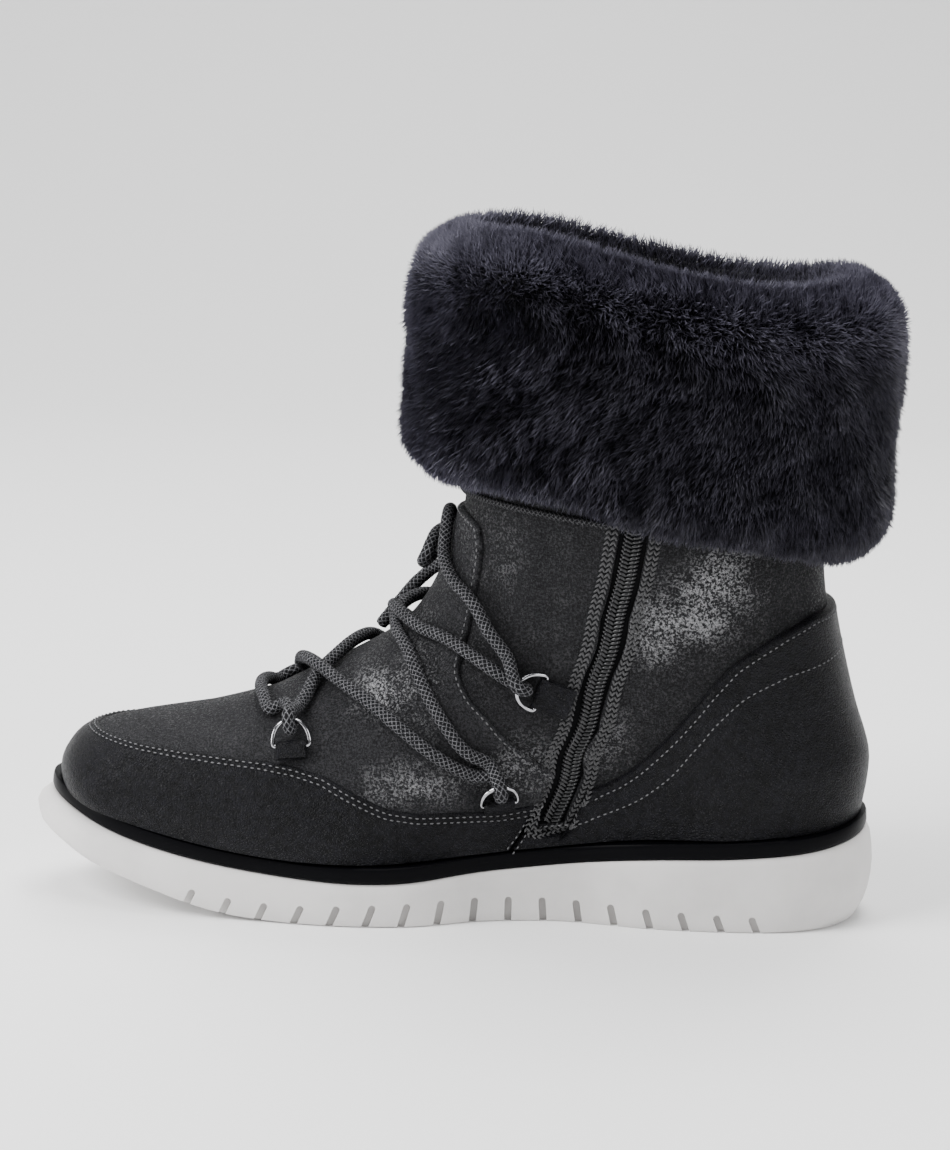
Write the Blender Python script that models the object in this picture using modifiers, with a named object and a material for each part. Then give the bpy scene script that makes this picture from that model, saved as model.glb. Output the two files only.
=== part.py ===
"""A right snow boot with a fur cuff, a zip on its inner side and a lace through six D-rings.

X runs along the foot with the toe at -X, the inner side of the foot is at -Y, and Z is up.
The origin lies under the middle of the boot, on the plane that the sole stands on.
"""

import math
from collections import namedtuple
from functools import lru_cache

import bmesh
import bpy
import numpy as np
from mathutils import Matrix, Vector

# Driving sizes of the sole, in metres
SOLE_LENGTH = 0.288
SOLE_WIDTH = 0.0963
OUTSOLE_HEEL = 0.026
TOE_SPRING = 0.018
WELT_THICKNESS = 0.0055
INSOLE_THICKNESS = 0.003
LUG_PITCH = 0.01204
LUG_GROOVE = 0.0024
GROOVES = 17
FIRST_GROOVE = 0.0545

# Driving sizes of the upper
TOE_LEDGE = 0.0114
HEEL_LEDGE = 0.0076
SIDE_LEDGE = 0.0048
INSTEP_RUN = 0.1326
INSTEP_RISE = 0.056
SHAFT_RISE = 0.1245
COUNTER_RISE = 0.065
BACK_RISE = 0.1115
HEEL_LEAN = 0.016
SHAFT_WIDTH = 0.094
UPPER_WALL = 0.0028

# Driving sizes of what is sewn on the upper
MUDGUARD_THICKNESS = 0.0018
COUNTER_THICKNESS = 0.0018
VAMP_THICKNESS = 0.0012
ZIP_SLOT = 0.0095
ZIP_SLOT_DEPTH = 0.0016
ZIP_TAPE = 0.0006
ZIP_COIL = 0.0073
RING_WIDTH = 0.0126
RING_HEIGHT = 0.0088
RING_WIRE = 0.0016
TAB_WIDTH = 0.0102
TAB_THICKNESS = 0.0010
LACE_THICKNESS = 0.0044
KNOT_SIZE = 0.0105
CUFF_SEAM = 0.0022

# Driving sizes of the fur cuff
FUR_FRONT = 0.025
FUR_SIDE = 0.017
FUR_BACK = 0.025
FUR_LINING = 0.0045
CUFF_SKIRT = 0.022
CUFF_HEM_HEIGHT = 0.141
CUFF_TOP_HEIGHT = 0.236
LOCK_DEPTH = 0.0036
LOCKS = 13

# Driving sizes of the tread
GROOVE_TOE = 0.006
GROOVE_WAIST = 0.009
GROOVE_HEEL = 0.0065
GROOVE_BITE = 0.0035
GROOVE_LEAN = math.radians(23)
TREAD_GROOVE = 0.0025

# Clearances: between flat pieces that touch, under curved panels, cords and the cuff, whose
# faces are flat between their corners, and inside the upper round the insole
GAP = 0.0003
PANEL_EASE = 0.0011
CORD_EASE = 0.0008
CUFF_EASE = 0.0011
INSOLE_EASE = 0.0026
MM = 0.001

# Places that follow from the sizes. The fur stands out behind the sole, and the origin lies
# under the middle of the whole boot.
FUR_OVERHANG = 0.0027
SOLE_MIDDLE = -FUR_OVERHANG / 2
TOE_X = SOLE_MIDDLE - SOLE_LENGTH / 2
HEEL_X = SOLE_MIDDLE + SOLE_LENGTH / 2
FEATHER_TOE = TOE_X + TOE_LEDGE
FEATHER_HEEL = HEEL_X - HEEL_LEDGE
FEATHER_WIDTH = SOLE_WIDTH - 2 * SIDE_LEDGE
SEAM_BASE = PANEL_EASE + VAMP_THICKNESS
LACE_LIFT = SEAM_BASE + CORD_EASE + LACE_THICKNESS / 2
RING_TILT = math.radians(12)

# The sole's outline: share of the length from the toe, then half widths as shares of the width
Outline = namedtuple("Outline", "run medial lateral")
SOLE_OUTLINE = (
    Outline(0.02, 0.18, 0.18),
    Outline(0.07, 0.31, 0.32),
    Outline(0.15, 0.39, 0.45),
    Outline(0.27, 0.43, 0.52),
    Outline(0.38, 0.455, 0.545),
    Outline(0.45, 0.43, 0.535),
    Outline(0.53, 0.335, 0.49),
    Outline(0.62, 0.296, 0.43),
    Outline(0.74, 0.356, 0.385),
    Outline(0.83, 0.366, 0.375),
    Outline(0.92, 0.33, 0.33),
    Outline(0.97, 0.235, 0.235),
)

# The outsole's top edge: share of the length, then height as a share of OUTSOLE_HEEL
Line = namedtuple("Line", "run rise")
OUTSOLE_TOP = (
    Line(0.0, 1.42),
    Line(0.02, 1.35),
    Line(0.09, 1.07),
    Line(0.205, 0.77),
    Line(0.32, 0.61),
    Line(0.42, 0.58),
    Line(0.51, 0.66),
    Line(0.61, 0.76),
    Line(0.73, 0.93),
    Line(0.84, 1.0),
    Line(0.95, 1.13),
    Line(1.0, 1.25),
)

# The tread's underside: share of the length, then height as a share of TOE_SPRING
TREAD = (
    Line(0.0, 1.1),
    Line(0.035, 1.0),
    Line(0.07, 0.82),
    Line(0.11, 0.64),
    Line(0.15, 0.45),
    Line(0.18, 0.31),
    Line(0.22, 0.15),
    Line(0.27, 0.04),
    Line(0.31, 0.0),
    Line(1.0, 0.0),
)

# Levels up the outsole's side: share of its height, then how far each edge draws in, in metres
Level = namedtuple("Level", "rise toe side heel")
OUTSOLE_LEVELS = (
    Level(0.0, 0.0085, 0.0026, 0.0062),
    Level(0.1, 0.0050, 0.0010, 0.0035),
    Level(0.3, 0.0012, 0.0002, 0.0010),
    Level(0.6, 0.0, 0.0, 0.0),
    Level(0.9, 0.0035, 0.0002, 0.0012),
    Level(1.0, 0.0062, 0.0012, 0.0030),
)
INSOLE_LEVELS = (
    Level(0.0, UPPER_WALL + INSOLE_EASE, UPPER_WALL + INSOLE_EASE, 0.0),
    Level(1.0, UPPER_WALL + INSOLE_EASE, UPPER_WALL + INSOLE_EASE, 0.0),
)
WELT_LEVELS = (
    Level(0.0, 0.0062, 0.0006, 0.0030),
    Level(0.25, 0.0060, 0.0002, 0.0026),
    Level(0.75, 0.0070, 0.0002, 0.0030),
    Level(1.0, 0.0080, 0.0010, 0.0040),
)

# Rings of the upper from the feather edge to the collar. front_run goes from the toe (0) to the
# shaft's front (1); the rises go from the feather edge (0) over the instep (1) to the collar (2);
# lean is how far the back stands forward of the heel; follow is how much of the welt's curve the
# ring keeps; shaft says whose width the half widths share, the foot's (0) or the shaft's (1).
STATIONS = (0.03, 0.11, 0.35, 0.615, 0.85, 0.97)
Ring = namedtuple("Ring", "name front_run front_rise lean back_rise follow shaft medial lateral")
RINGS = (
    Ring("feather", 0.0, 0.0, 0.0, 0.0, 1.0, 0.0,
         (0.29, 0.38, 0.46, 0.29, 0.355, 0.225), (0.28, 0.405, 0.535, 0.445, 0.355, 0.23)),
    Ring("rand", -0.005, 0.06, -0.04, 0.075, 0.9, 0.0,
         (0.30, 0.39, 0.47, 0.30, 0.365, 0.24), (0.285, 0.415, 0.545, 0.455, 0.365, 0.24)),
    Ring("bumper", 0.005, 0.145, -0.1, 0.185, 0.7, 0.0,
         (0.29, 0.39, 0.47, 0.315, 0.375, 0.245), (0.28, 0.415, 0.545, 0.46, 0.375, 0.245)),
    Ring("toe top", 0.045, 0.255, -0.11, 0.305, 0.45, 0.0,
         (0.23, 0.35, 0.455, 0.345, 0.38, 0.25), (0.23, 0.37, 0.52, 0.46, 0.38, 0.25)),
    Ring("apron", 0.14, 0.335, 0.01, 0.415, 0.25, 0.0,
         (0.16, 0.30, 0.43, 0.37, 0.375, 0.24), (0.165, 0.32, 0.48, 0.45, 0.375, 0.24)),
    Ring("vamp", 0.315, 0.405, 0.19, 0.535, 0.1, 0.1,
         (0.143, 0.27, 0.415, 0.39, 0.368, 0.23), (0.147, 0.283, 0.445, 0.44, 0.368, 0.23)),
    Ring("ball top", 0.51, 0.54, 0.35, 0.665, 0.03, 0.2,
         (0.143, 0.268, 0.403, 0.403, 0.357, 0.22), (0.147, 0.275, 0.42, 0.425, 0.357, 0.22)),
    Ring("waist top", 0.70, 0.757, 0.525, 0.825, 0.0, 0.4,
         (0.143, 0.261, 0.39, 0.408, 0.346, 0.212), (0.145, 0.266, 0.401, 0.417, 0.346, 0.212)),
    Ring("instep", 0.86, 1.0, 0.7, 1.0, 0.0, 0.6,
         (0.143, 0.259, 0.397, 0.417, 0.34, 0.206), (0.143, 0.261, 0.401, 0.421, 0.34, 0.206)),
    Ring("throat", 0.947, 1.14, 0.85, 1.11, 0.0, 0.8,
         (0.151, 0.272, 0.415, 0.432, 0.341, 0.203), (0.151, 0.272, 0.417, 0.434, 0.341, 0.203)),
    Ring("ankle", 0.988, 1.3, 0.938, 1.23, 0.0, 1.0,
         (0.166, 0.291, 0.436, 0.451, 0.351, 0.204), (0.166, 0.291, 0.436, 0.451, 0.351, 0.204)),
    Ring("shin", 1.003, 1.46, 0.975, 1.375, 0.0, 1.0,
         (0.18, 0.313, 0.46, 0.472, 0.366, 0.213), (0.18, 0.313, 0.46, 0.472, 0.366, 0.213)),
    Ring("calf", 1.005, 1.735, 0.9, 1.72, 0.0, 1.0,
         (0.19, 0.33, 0.479, 0.489, 0.379, 0.219), (0.19, 0.33, 0.479, 0.489, 0.379, 0.219)),
    Ring("collar", 0.997, 2.0, 0.775, 2.0, 0.0, 1.0,
         (0.196, 0.338, 0.489, 0.5, 0.385, 0.223), (0.196, 0.338, 0.489, 0.5, 0.385, 0.223)),
)
COLLAR = len(RINGS) - 1
WIDEST = 2.0

VAMP_COLUMNS = 24
MUDGUARD_COLUMNS = 34
MUDGUARD_ROWS = (0.0, 0.33, 0.67, 1.0)
VAMP_ROWS = (0.0, 0.04, 0.09, 0.15, 0.22, 0.3, 0.39, 0.49, 0.6, 0.72, 0.85, 1.0)
NOTCH_COLUMNS = 10
HEEL_COLUMNS = 24
NOTCH_SHARE = 0.115
COUNTER_ROWS = 3
PANEL_FOOT = 0.42

# Edges on the upper: share of the sole's length from the toe, height as a share of INSTEP_HEIGHT
MUDGUARD_TOP = (
    Line(0.0, 0.583),
    Line(0.076, 0.583),
    Line(0.1, 0.577),
    Line(0.132, 0.571),
    Line(0.278, 0.568),
    Line(0.312, 0.558),
    Line(0.347, 0.536),
    Line(0.385, 0.48),
    Line(0.42, 0.432),
    Line(0.455, 0.415),
    Line(0.55, 0.42),
    Line(0.594, 0.443),
)
JOIN_FOOT = 0.563
COUNTER_TOP = (
    Line(0.594, 0.443),
    Line(0.657, 0.493),
    Line(0.6875, 0.544),
    Line(0.708, 0.593),
    Line(0.734, 0.676),
    Line(0.76, 0.768),
    Line(0.786, 0.878),
    Line(0.8125, 0.976),
    Line(0.84, 1.035),
    Line(0.867, 1.085),
    Line(0.903, 1.14),
    Line(1.0, 1.17),
)
ZIP_NOTCH = (
    Line(0.594, 0.443),
    Line(0.599, 0.325),
    Line(0.630, 0.325),
    Line(0.646, 0.42),
    Line(0.653, 0.488),
)
VAMP_FOOT = (
    Line(0.611, 0.56),
    Line(0.5955, 0.452),
)
VAMP_FOOT_SHARE = 1 / VAMP_COLUMNS
VAMP_EDGE = (
    Line(0.611, 0.56),
    Line(0.567, 0.662),
    Line(0.537, 0.752),
    Line(0.511, 0.831),
    Line(0.5, 0.91),
    Line(0.503, 0.96),
    Line(0.508, 1.03),
    Line(0.515, 1.155),
    Line(0.518, 1.212),
    Line(0.522, 1.335),
    Line(0.519, 1.39),
)
VAMP_TOP = 1.445
ZIP_LINE = (
    Line(0.611, 0.36),
    Line(0.6315, 0.55),
    Line(0.646, 0.724),
    Line(0.66, 0.934),
    Line(0.6745, 1.132),
    Line(0.686, 1.31),
    Line(0.691, 1.427),
    Line(0.697, 1.7),
    Line(0.7, 2.05),
)
SEAM_LINE = (
    Line(0.5, 1.513),
    Line(0.523, 1.511),
    Line(0.55, 1.507),
    Line(0.58, 1.5),
    Line(0.628, 1.487),
    Line(0.663, 1.475),
)

# The rings of the lace. angle is the way that the loop points, base what lies under the tab,
# and length how far the tab runs back from the ring's bar.
RingSpot = namedtuple("RingSpot", "name side run rise angle base length")
RING_ROWS_BY_SIDE = (
    ("lower", 0.31, 0.607, math.radians(92), SEAM_BASE, 0.0042),
    ("middle", 0.547, 0.461, math.radians(96), SEAM_BASE, 0.0034),
    ("upper", 0.594, 0.858, math.radians(160), 0.0, 0.0110),
)
RING_SPOTS = [RingSpot(row[0] + end, side, *row[1:])
              for side, end in ((-1, "_medial"), (1, "_lateral")) for row in RING_ROWS_BY_SIDE]

# The lace's route over the skin, chosen by hand in millimetres: each row has two of x, y and z,
# with x from the sole's middle, the side of the foot, and how much higher than over the vamp
# the cord runs there.
Pass = namedtuple("Pass", "side x y z lift")
LACE_BAR = (
    Pass(-1, -57.9, None, 67.0, 0.8), Pass(-1, -61.5, -20, None, 0), Pass(-1, -65, -12, None, 0),
    Pass(-1, -66.5, 0, None, 0), Pass(1, -65, 12, None, 0), Pass(1, -61.5, 20, None, 0),
    Pass(1, -57.9, None, 67.0, 0.8),
)
LACE_LOWER = (
    (Pass(-1, -52.0, None, 67.5, 0.8), Pass(-1, -50.2, -20, None, 0), Pass(-1, -46.5, -12, None, 0),
     Pass(-1, -40, -4, None, 0), Pass(1, -34.5, 4, None, 0), Pass(1, -30, 13, None, 0),
     Pass(1, -26, 22, None, 0), Pass(1, -19.5, None, 68.5, 0), Pass(1, -8, None, 60.5, 0),
     Pass(1, 4.6, None, 54.0, 0)),
    (Pass(1, -51.8, None, 67.5, 0.8), Pass(1, -52.2, 18, None, 0), Pass(1, -52.5, 9, None, 0),
     Pass(-1, -50.5, 0, None, 0), Pass(-1, -45.5, -10.5, None, 0), Pass(-1, -38, -20, None, 0),
     Pass(-1, -28.5, -28.5, None, 0), Pass(-1, -19.5, None, 67, 0), Pass(-1, -8, None, 60.5, 0),
     Pass(-1, 4.6, None, 54.0, 0)),
)
LACE_UPPER = (
    (Pass(-1, 9.5, None, 58.5, 0), Pass(-1, 3, None, 62, 0), Pass(-1, -4, None, 69, 0),
     Pass(-1, -10.5, None, 79, 0), Pass(-1, -16, -20, None, 0), Pass(-1, -19, -10, None, 0.5),
     Pass(1, -17.5, 0.5, None, 1.5), Pass(1, None, 12, 100, 1.0), Pass(1, None, 22, 98, 0.5),
     Pass(1, 6, None, 91.5, 0), Pass(1, 13.0, None, 87.5, 0)),
    (Pass(1, 9.5, None, 58.5, 0), Pass(1, 3, None, 62, 0), Pass(1, -4, None, 69, 0),
     Pass(1, -10.5, None, 79, 0), Pass(1, -16.5, 18, None, 0), Pass(1, -18.5, 8, None, 0.5),
     Pass(-1, -17.5, 0, None, 1.5),
     Pass(-1, -15, -9, None, 0.5), Pass(-1, -10.8, -16.8, None, 0), Pass(-1, -3, None, 95, 0),
     Pass(-1, 5, None, 91.5, 0), Pass(-1, 13.0, None, 87.5, 0)),
)
LACE_RUNS = {
    "lace_top_medial": (
        Pass(-1, 16.5, None, 93.0, 0), Pass(-1, 11.5, None, 100, 0), Pass(-1, 6, None, 109, 0),
        Pass(-1, None, -17, 115, 0), Pass(-1, None, -9, 121.5, 0), Pass(-1, None, -5, 128, 0),
        Pass(-1, None, -1, 132.5, 0), Pass(1, None, 5, 134, 0), Pass(1, None, 10.5, 131.5, 0.6)),
    "lace_top_lateral": (
        Pass(1, 16.5, None, 93.0, 0), Pass(1, 13, None, 101, -0.6), Pass(1, 10.5, None, 109, -0.9),
        Pass(1, None, 28, 117, -0.6), Pass(1, None, 23.4, 122.3, 0.8)),
    "lace_loop_front": (
        Pass(1, None, 12.6, 125.5, 2.4), Pass(1, None, 6, 124, 3.0), Pass(1, None, 2.5, 121, 3.2),
        Pass(1, None, 1.5, 117, 3.4), Pass(1, None, 3, 113.8, 3.6), Pass(1, None, 7, 113.4, 3.4),
        Pass(1, None, 10.5, 116, 3.0), Pass(1, None, 12.6, 119, 3.0)),
    "lace_loop_side": (
        Pass(1, None, 20.1, 130.3, 1.6), Pass(1, None, 27, 133.5, 0.5), Pass(1, None, 34, 130, 0.5),
        Pass(1, None, 36, 123.5, 1.5), Pass(1, None, 33.5, 120.5, 4.5), Pass(1, None, 29, 122.5, 5.5),
        Pass(1, None, 23.2, 126.3, 4.4)),
    "lace_end_front": (
        Pass(1, None, 15.9, 119.6, 2.2), Pass(1, None, 16.6, 112, 2.0), Pass(1, None, 17, 106, 6.0),
        Pass(1, None, 16, 99, 7.2), Pass(1, None, 15, 92, 5.0), Pass(1, None, 15, 86, 1.0)),
    "lace_end_side": (
        Pass(1, None, 20.5, 120.6, 2.4), Pass(1, None, 22.6, 112, 2.0), Pass(1, None, 24, 105, 2.5),
        Pass(1, None, 26.5, 97, 5.6), Pass(1, None, 29.5, 90, 5.5), Pass(1, None, 32.5, 83, 1.5)),
}
KNOT = Pass(1, None, 17, 126, 2.2)

# The fur cuff. Its hem and top are heights round the shaft as shares of the hem's and the top's
# greatest heights; its section gives height between hem and top and depth as shares.
CUFF_HEM = (
    Line(0.0, 1.055), Line(0.1, 1.062), Line(0.2, 1.056), Line(0.3, 1.042), Line(0.38, 1.024),
    Line(0.5, 0.98), Line(0.65, 0.942), Line(0.8, 0.92), Line(0.92, 0.89), Line(1.0, 0.865),
)
CUFF_TOP = (
    Line(0.0, 0.992), Line(0.13, 0.998), Line(0.34, 0.98), Line(0.45, 0.966), Line(0.56, 0.955),
    Line(0.68, 0.944), Line(0.9, 0.94), Line(1.0, 0.948),
)
Section = namedtuple("Section", "rise depth")
CUFF_SECTION = (
    Section(0.0, 0.01), Section(-0.012, 0.24), Section(-0.006, 0.48), Section(0.04, 0.74),
    Section(0.10, 0.90), Section(0.17, 0.97), Section(0.26, 0.99), Section(0.36, 0.97),
    Section(0.44, 0.97), Section(0.52, 0.98), Section(0.6, 0.97), Section(0.68, 0.95),
    Section(0.76, 0.92), Section(0.84, 0.86), Section(0.91, 0.74), Section(0.965, 0.53),
    Section(0.995, 0.30), Section(1.0, 0.06),
)

# Counts of points round and up a form
SOLE_STEPS = 24
UPPER_ROUND = 50
UPPER_LEVELS = (0.0, 1.0, 2.0, 3.0, 4.0, 4.8, 5.5, 6.2, 6.9, 7.6, 8.3, 9.0, 9.8, 11.0, 13.0)
ZIP_STEPS = 16
RING_STEPS = 9
CUFF_ROUND = 54


def smooth(knots, values, at):
    """A smooth curve through the values at the knots, read at one place or at several."""
    knots = np.asarray(knots, float)
    values = np.asarray(values, float)
    steps = np.diff(knots)
    slopes = np.diff(values) / steps
    tangents = np.empty_like(values)
    tangents[0] = slopes[0]
    tangents[-1] = slopes[-1]
    tangents[1:-1] = (slopes[:-1] * steps[1:] + slopes[1:] * steps[:-1]) / (steps[1:] + steps[:-1])
    at = np.clip(np.asarray(at, float), knots[0], knots[-1])
    span = np.clip(np.searchsorted(knots, at, side="right") - 1, 0, len(steps) - 1)
    width = steps[span]
    t = (at - knots[span]) / width
    first = values[span] * (1 + 2 * t) * (1 - t) ** 2 + tangents[span] * width * t * (1 - t) ** 2
    last = values[span + 1] * t * t * (3 - 2 * t) - tangents[span + 1] * width * t * t * (1 - t)
    return first + last


def turn_of(run):
    """The angle round a ring at a share of its length, so that points crowd at toe and heel."""
    return math.acos(1 - 2 * min(max(run, 0.0), 1.0))


def run_of(turn):
    """The share of a ring's length at an angle round it."""
    return (1 - math.cos(turn)) / 2


def half_width(table, runs, turn):
    """Half width at an angle round a ring, closing to nothing at toe and heel."""
    knots = [0.0] + [turn_of(run) for run in runs] + [math.pi]
    return float(smooth(knots, [0.0, *table, 0.0], turn))


def outsole_top(x):
    """Height of the outsole's top edge over a place along the foot."""
    run = (x - TOE_X) / SOLE_LENGTH
    return OUTSOLE_HEEL * float(smooth([p.run for p in OUTSOLE_TOP], [p.rise for p in OUTSOLE_TOP], run))


def tread(x):
    """Height of the tread's underside over a place along the foot."""
    run = (x - TOE_X) / SOLE_LENGTH
    return TOE_SPRING * max(0.0, float(smooth([p.run for p in TREAD], [p.rise for p in TREAD], run)))


def welt_top(x):
    """Height of the welt's top over a place along the foot."""
    return outsole_top(x) + GAP + WELT_THICKNESS


def feather(x):
    """Height of the upper's lower edge over a place along the foot."""
    return welt_top(x) + GAP


def climb(share, low, first, second):
    """A height that goes up by its first rise to share 1 and by its second rise to share 2."""
    return low + min(share, 1.0) * first + max(share - 1.0, 0.0) * second


def ring_row(ring):
    """A ring's own sizes in metres: front and back points, how it follows, and its half widths."""
    width = FEATHER_WIDTH + (SHAFT_WIDTH - FEATHER_WIDTH) * ring.shaft
    front_x = FEATHER_TOE + ring.front_run * INSTEP_RUN
    front_z = climb(ring.front_rise, feather(FEATHER_TOE), INSTEP_RISE, SHAFT_RISE)
    back_x = FEATHER_HEEL - ring.lean * HEEL_LEAN
    back_z = climb(ring.back_rise, feather(FEATHER_HEEL), COUNTER_RISE, BACK_RISE)
    sides = [share * width for share in (*ring.medial, *ring.lateral)]
    return [front_x, front_z, back_x, back_z, ring.follow, *sides]


RING_ROWS = np.array([ring_row(ring) for ring in RINGS])
INSTEP_HEIGHT = feather(FEATHER_TOE) + INSTEP_RISE


@lru_cache(maxsize=None)
def ring_at(level):
    """The sizes of the ring at a level, which counts rings from 0 at the feather edge."""
    return [float(smooth(range(len(RINGS)), column, level)) for column in RING_ROWS.T]


def skin_point(turn, level):
    """A point of the upper's skin. The turn is 0 at the toe, and runs to -pi or pi at the heel."""
    front_x, front_z, back_x, back_z, follow, *widths = ring_at(level)
    side = -1 if turn < 0 else 1
    widths = widths[:len(STATIONS)] if side < 0 else widths[len(STATIONS):]
    run = run_of(abs(turn))
    x = front_x + run * (back_x - front_x)
    level_line = feather(front_x) + run * (feather(back_x) - feather(front_x))
    z = front_z + run * (back_z - front_z) + follow * (feather(x) - level_line)
    return Vector((x, side * half_width(widths, STATIONS, abs(turn)), z))


def normal(turn, level):
    """The direction out of the upper's skin."""
    step = 0.03
    before = turn - step if turn - step > -math.pi else turn - step + 2 * math.pi
    after = turn + step if turn + step < math.pi else turn + step - 2 * math.pi
    up = skin_point(turn, min(level + step, COLLAR)) - skin_point(turn, max(level - step, 0.0))
    return up.cross(skin_point(after, level) - skin_point(before, level)).normalized()


def skin(turn, level, out=0.0):
    """A point at a distance out of the upper's skin."""
    return skin_point(turn, level) + normal(turn, level) * out if out else skin_point(turn, level)


def halve(low, high, is_low):
    """The place between two limits where is_low stops being true."""
    for _ in range(22):
        middle = (low + high) / 2
        if is_low(middle):
            low = middle
        else:
            high = middle
    return low


def turn_at(level, x, side):
    """The turn of a ring's point at a place along the foot."""
    front_x, _, back_x, *_ = ring_at(level)
    return side * turn_of((x - front_x) / (back_x - front_x))


def level_at(turn, z):
    """The level at which the skin reaches a height, at one turn."""
    return halve(0.0, COLLAR, lambda level: skin_point(turn, level).z < z)


def place(side, x=None, y=None, z=None):
    """Turn and level of the skin's point that has two given coordinates, on one side of the foot."""
    if y is None:
        level = halve(0.0, COLLAR, lambda at: skin_point(turn_at(at, x, side), at).z < z)
        return turn_at(level, x, side), level
    if z is None:
        level = halve(WIDEST, COLLAR, lambda at: x > ring_at(at)[0]
                      and abs(skin_point(turn_at(at, x, side), at).y) > abs(y))
        return turn_at(level, x, side), level
    turn = halve(0.0, math.pi / 2,
                 lambda at: abs(skin_point(side * at, level_at(side * at, z)).y) < abs(y))
    return side * turn, level_at(side * turn, z)


def along_line(line, side, share):
    """Turn and level at a share of the way along a line of table rows, on one side."""
    spots = line_spots(line, side)
    at = min(max(share, 0.0), 1.0) * (len(spots) - 1)
    first = min(int(at), len(spots) - 2)
    part = at - first
    return tuple(a + (b - a) * part for a, b in zip(spots[first], spots[first + 1]))


@lru_cache(maxsize=None)
def line_spots(line, side):
    """Turn and level of each row of a line, whose heights are shares of the instep's height."""
    return [place(side, x=TOE_X + row.run * SOLE_LENGTH, z=row.rise * INSTEP_HEIGHT) for row in line]


def edge_level(line, turn):
    """The level at which a line that is read by its place along the foot crosses a turn."""
    runs = [row.run for row in line]
    rises = [row.rise for row in line]

    def below(level):
        point = skin_point(turn, level)
        run = (point.x - TOE_X) / SOLE_LENGTH
        return point.z < INSTEP_HEIGHT * np.interp(run, runs, rises)

    return halve(0.0, COLLAR, below)


def move_to(obj, collection):
    """Puts an object in one collection only."""
    for old in obj.users_collection:
        old.objects.unlink(obj)
    bpy.data.collections[collection].objects.link(obj)


def new_object(name, mesh, finish):
    """An object in the boot's own collection, with its material."""
    part = bpy.data.objects.new(name, mesh)
    bpy.data.collections["snow_boot"].objects.link(part)
    mesh.materials.append(finish)
    return part


def mesh_of(name, points, faces):
    """A mesh from points and faces, shaded smooth up to its sharp edges."""
    mesh = bpy.data.meshes.new(name)
    mesh.from_pydata([tuple(point) for point in points], [], faces)
    mesh.update()
    mesh.shade_smooth()
    mesh.set_sharp_from_angle(angle=math.radians(40))
    return mesh


def turn_outwards(mesh):
    """Turns the faces of a closed mesh outwards."""
    build = bmesh.new()
    build.from_mesh(mesh)
    bmesh.ops.recalc_face_normals(build, faces=build.faces)
    build.to_mesh(mesh)
    build.free()


def grid_faces(rows, columns, wrap):
    """Quads between neighbouring rows of a grid, closed round where it wraps."""
    faces = []
    for row in range(rows - 1):
        for column in range(columns if wrap else columns - 1):
            after = (column + 1) % columns
            faces.append((row * columns + column, row * columns + after,
                          (row + 1) * columns + after, (row + 1) * columns + column))
    return faces


def round_turns(steps):
    """Turns of the points round a ring: down the medial side from the toe, back up the lateral."""
    medial = [-math.pi * i / steps for i in range(steps + 1)]
    lateral = [math.pi * i / steps for i in range(steps - 1, 0, -1)]
    return [-0.0, *medial[1:], *lateral]


def cap_faces(first, steps):
    """Strips across a ring of round_turns, from its toe point to its heel point."""
    count = 2 * steps
    faces = []
    for i in range(steps):
        face = [first + i, first + i + 1, first + (count - i - 1) % count, first + (count - i) % count]
        faces.append(tuple(dict.fromkeys(face)))
    return faces


def slab(name, levels, outline, low, high, finish):
    """A layer of the sole: rings of an outline drawn in by each level, between two heights."""
    points = []
    for level in levels:
        for turn in round_turns(SOLE_STEPS):
            x, y = outline(turn, level)
            points.append((x, y, low(x) + level.rise * (high(x) - low(x))))
    count = 2 * SOLE_STEPS
    faces = grid_faces(len(levels), count, True)
    faces += cap_faces(0, SOLE_STEPS)
    faces += cap_faces((len(levels) - 1) * count, SOLE_STEPS)
    mesh = mesh_of(name, points, faces)
    turn_outwards(mesh)
    return new_object(name, mesh, finish)


def sole_outline(turn, level):
    """A point of the sole's outline, drawn in at toe, sides and heel."""
    start, end = TOE_X + level.toe, HEEL_X - level.heel
    shares = [row.medial if turn < 0 else row.lateral for row in SOLE_OUTLINE]
    width = SOLE_WIDTH * half_width(shares, [row.run for row in SOLE_OUTLINE], abs(turn))
    side = -1 if turn < 0 else 1
    return start + run_of(abs(turn)) * (end - start), side * width * (1 - 2 * level.side / SOLE_WIDTH)


def insole_outline(turn, level):
    """A point of the insole's outline, inside the upper's wall."""
    spot = skin(turn, 0.0)
    middle = (FEATHER_TOE + FEATHER_HEEL) / 2
    length = FEATHER_HEEL - FEATHER_TOE
    return (middle + (spot.x - middle) * (1 - 2 * level.toe / length),
            spot.y * (1 - 2 * level.side / FEATHER_WIDTH))


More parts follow.
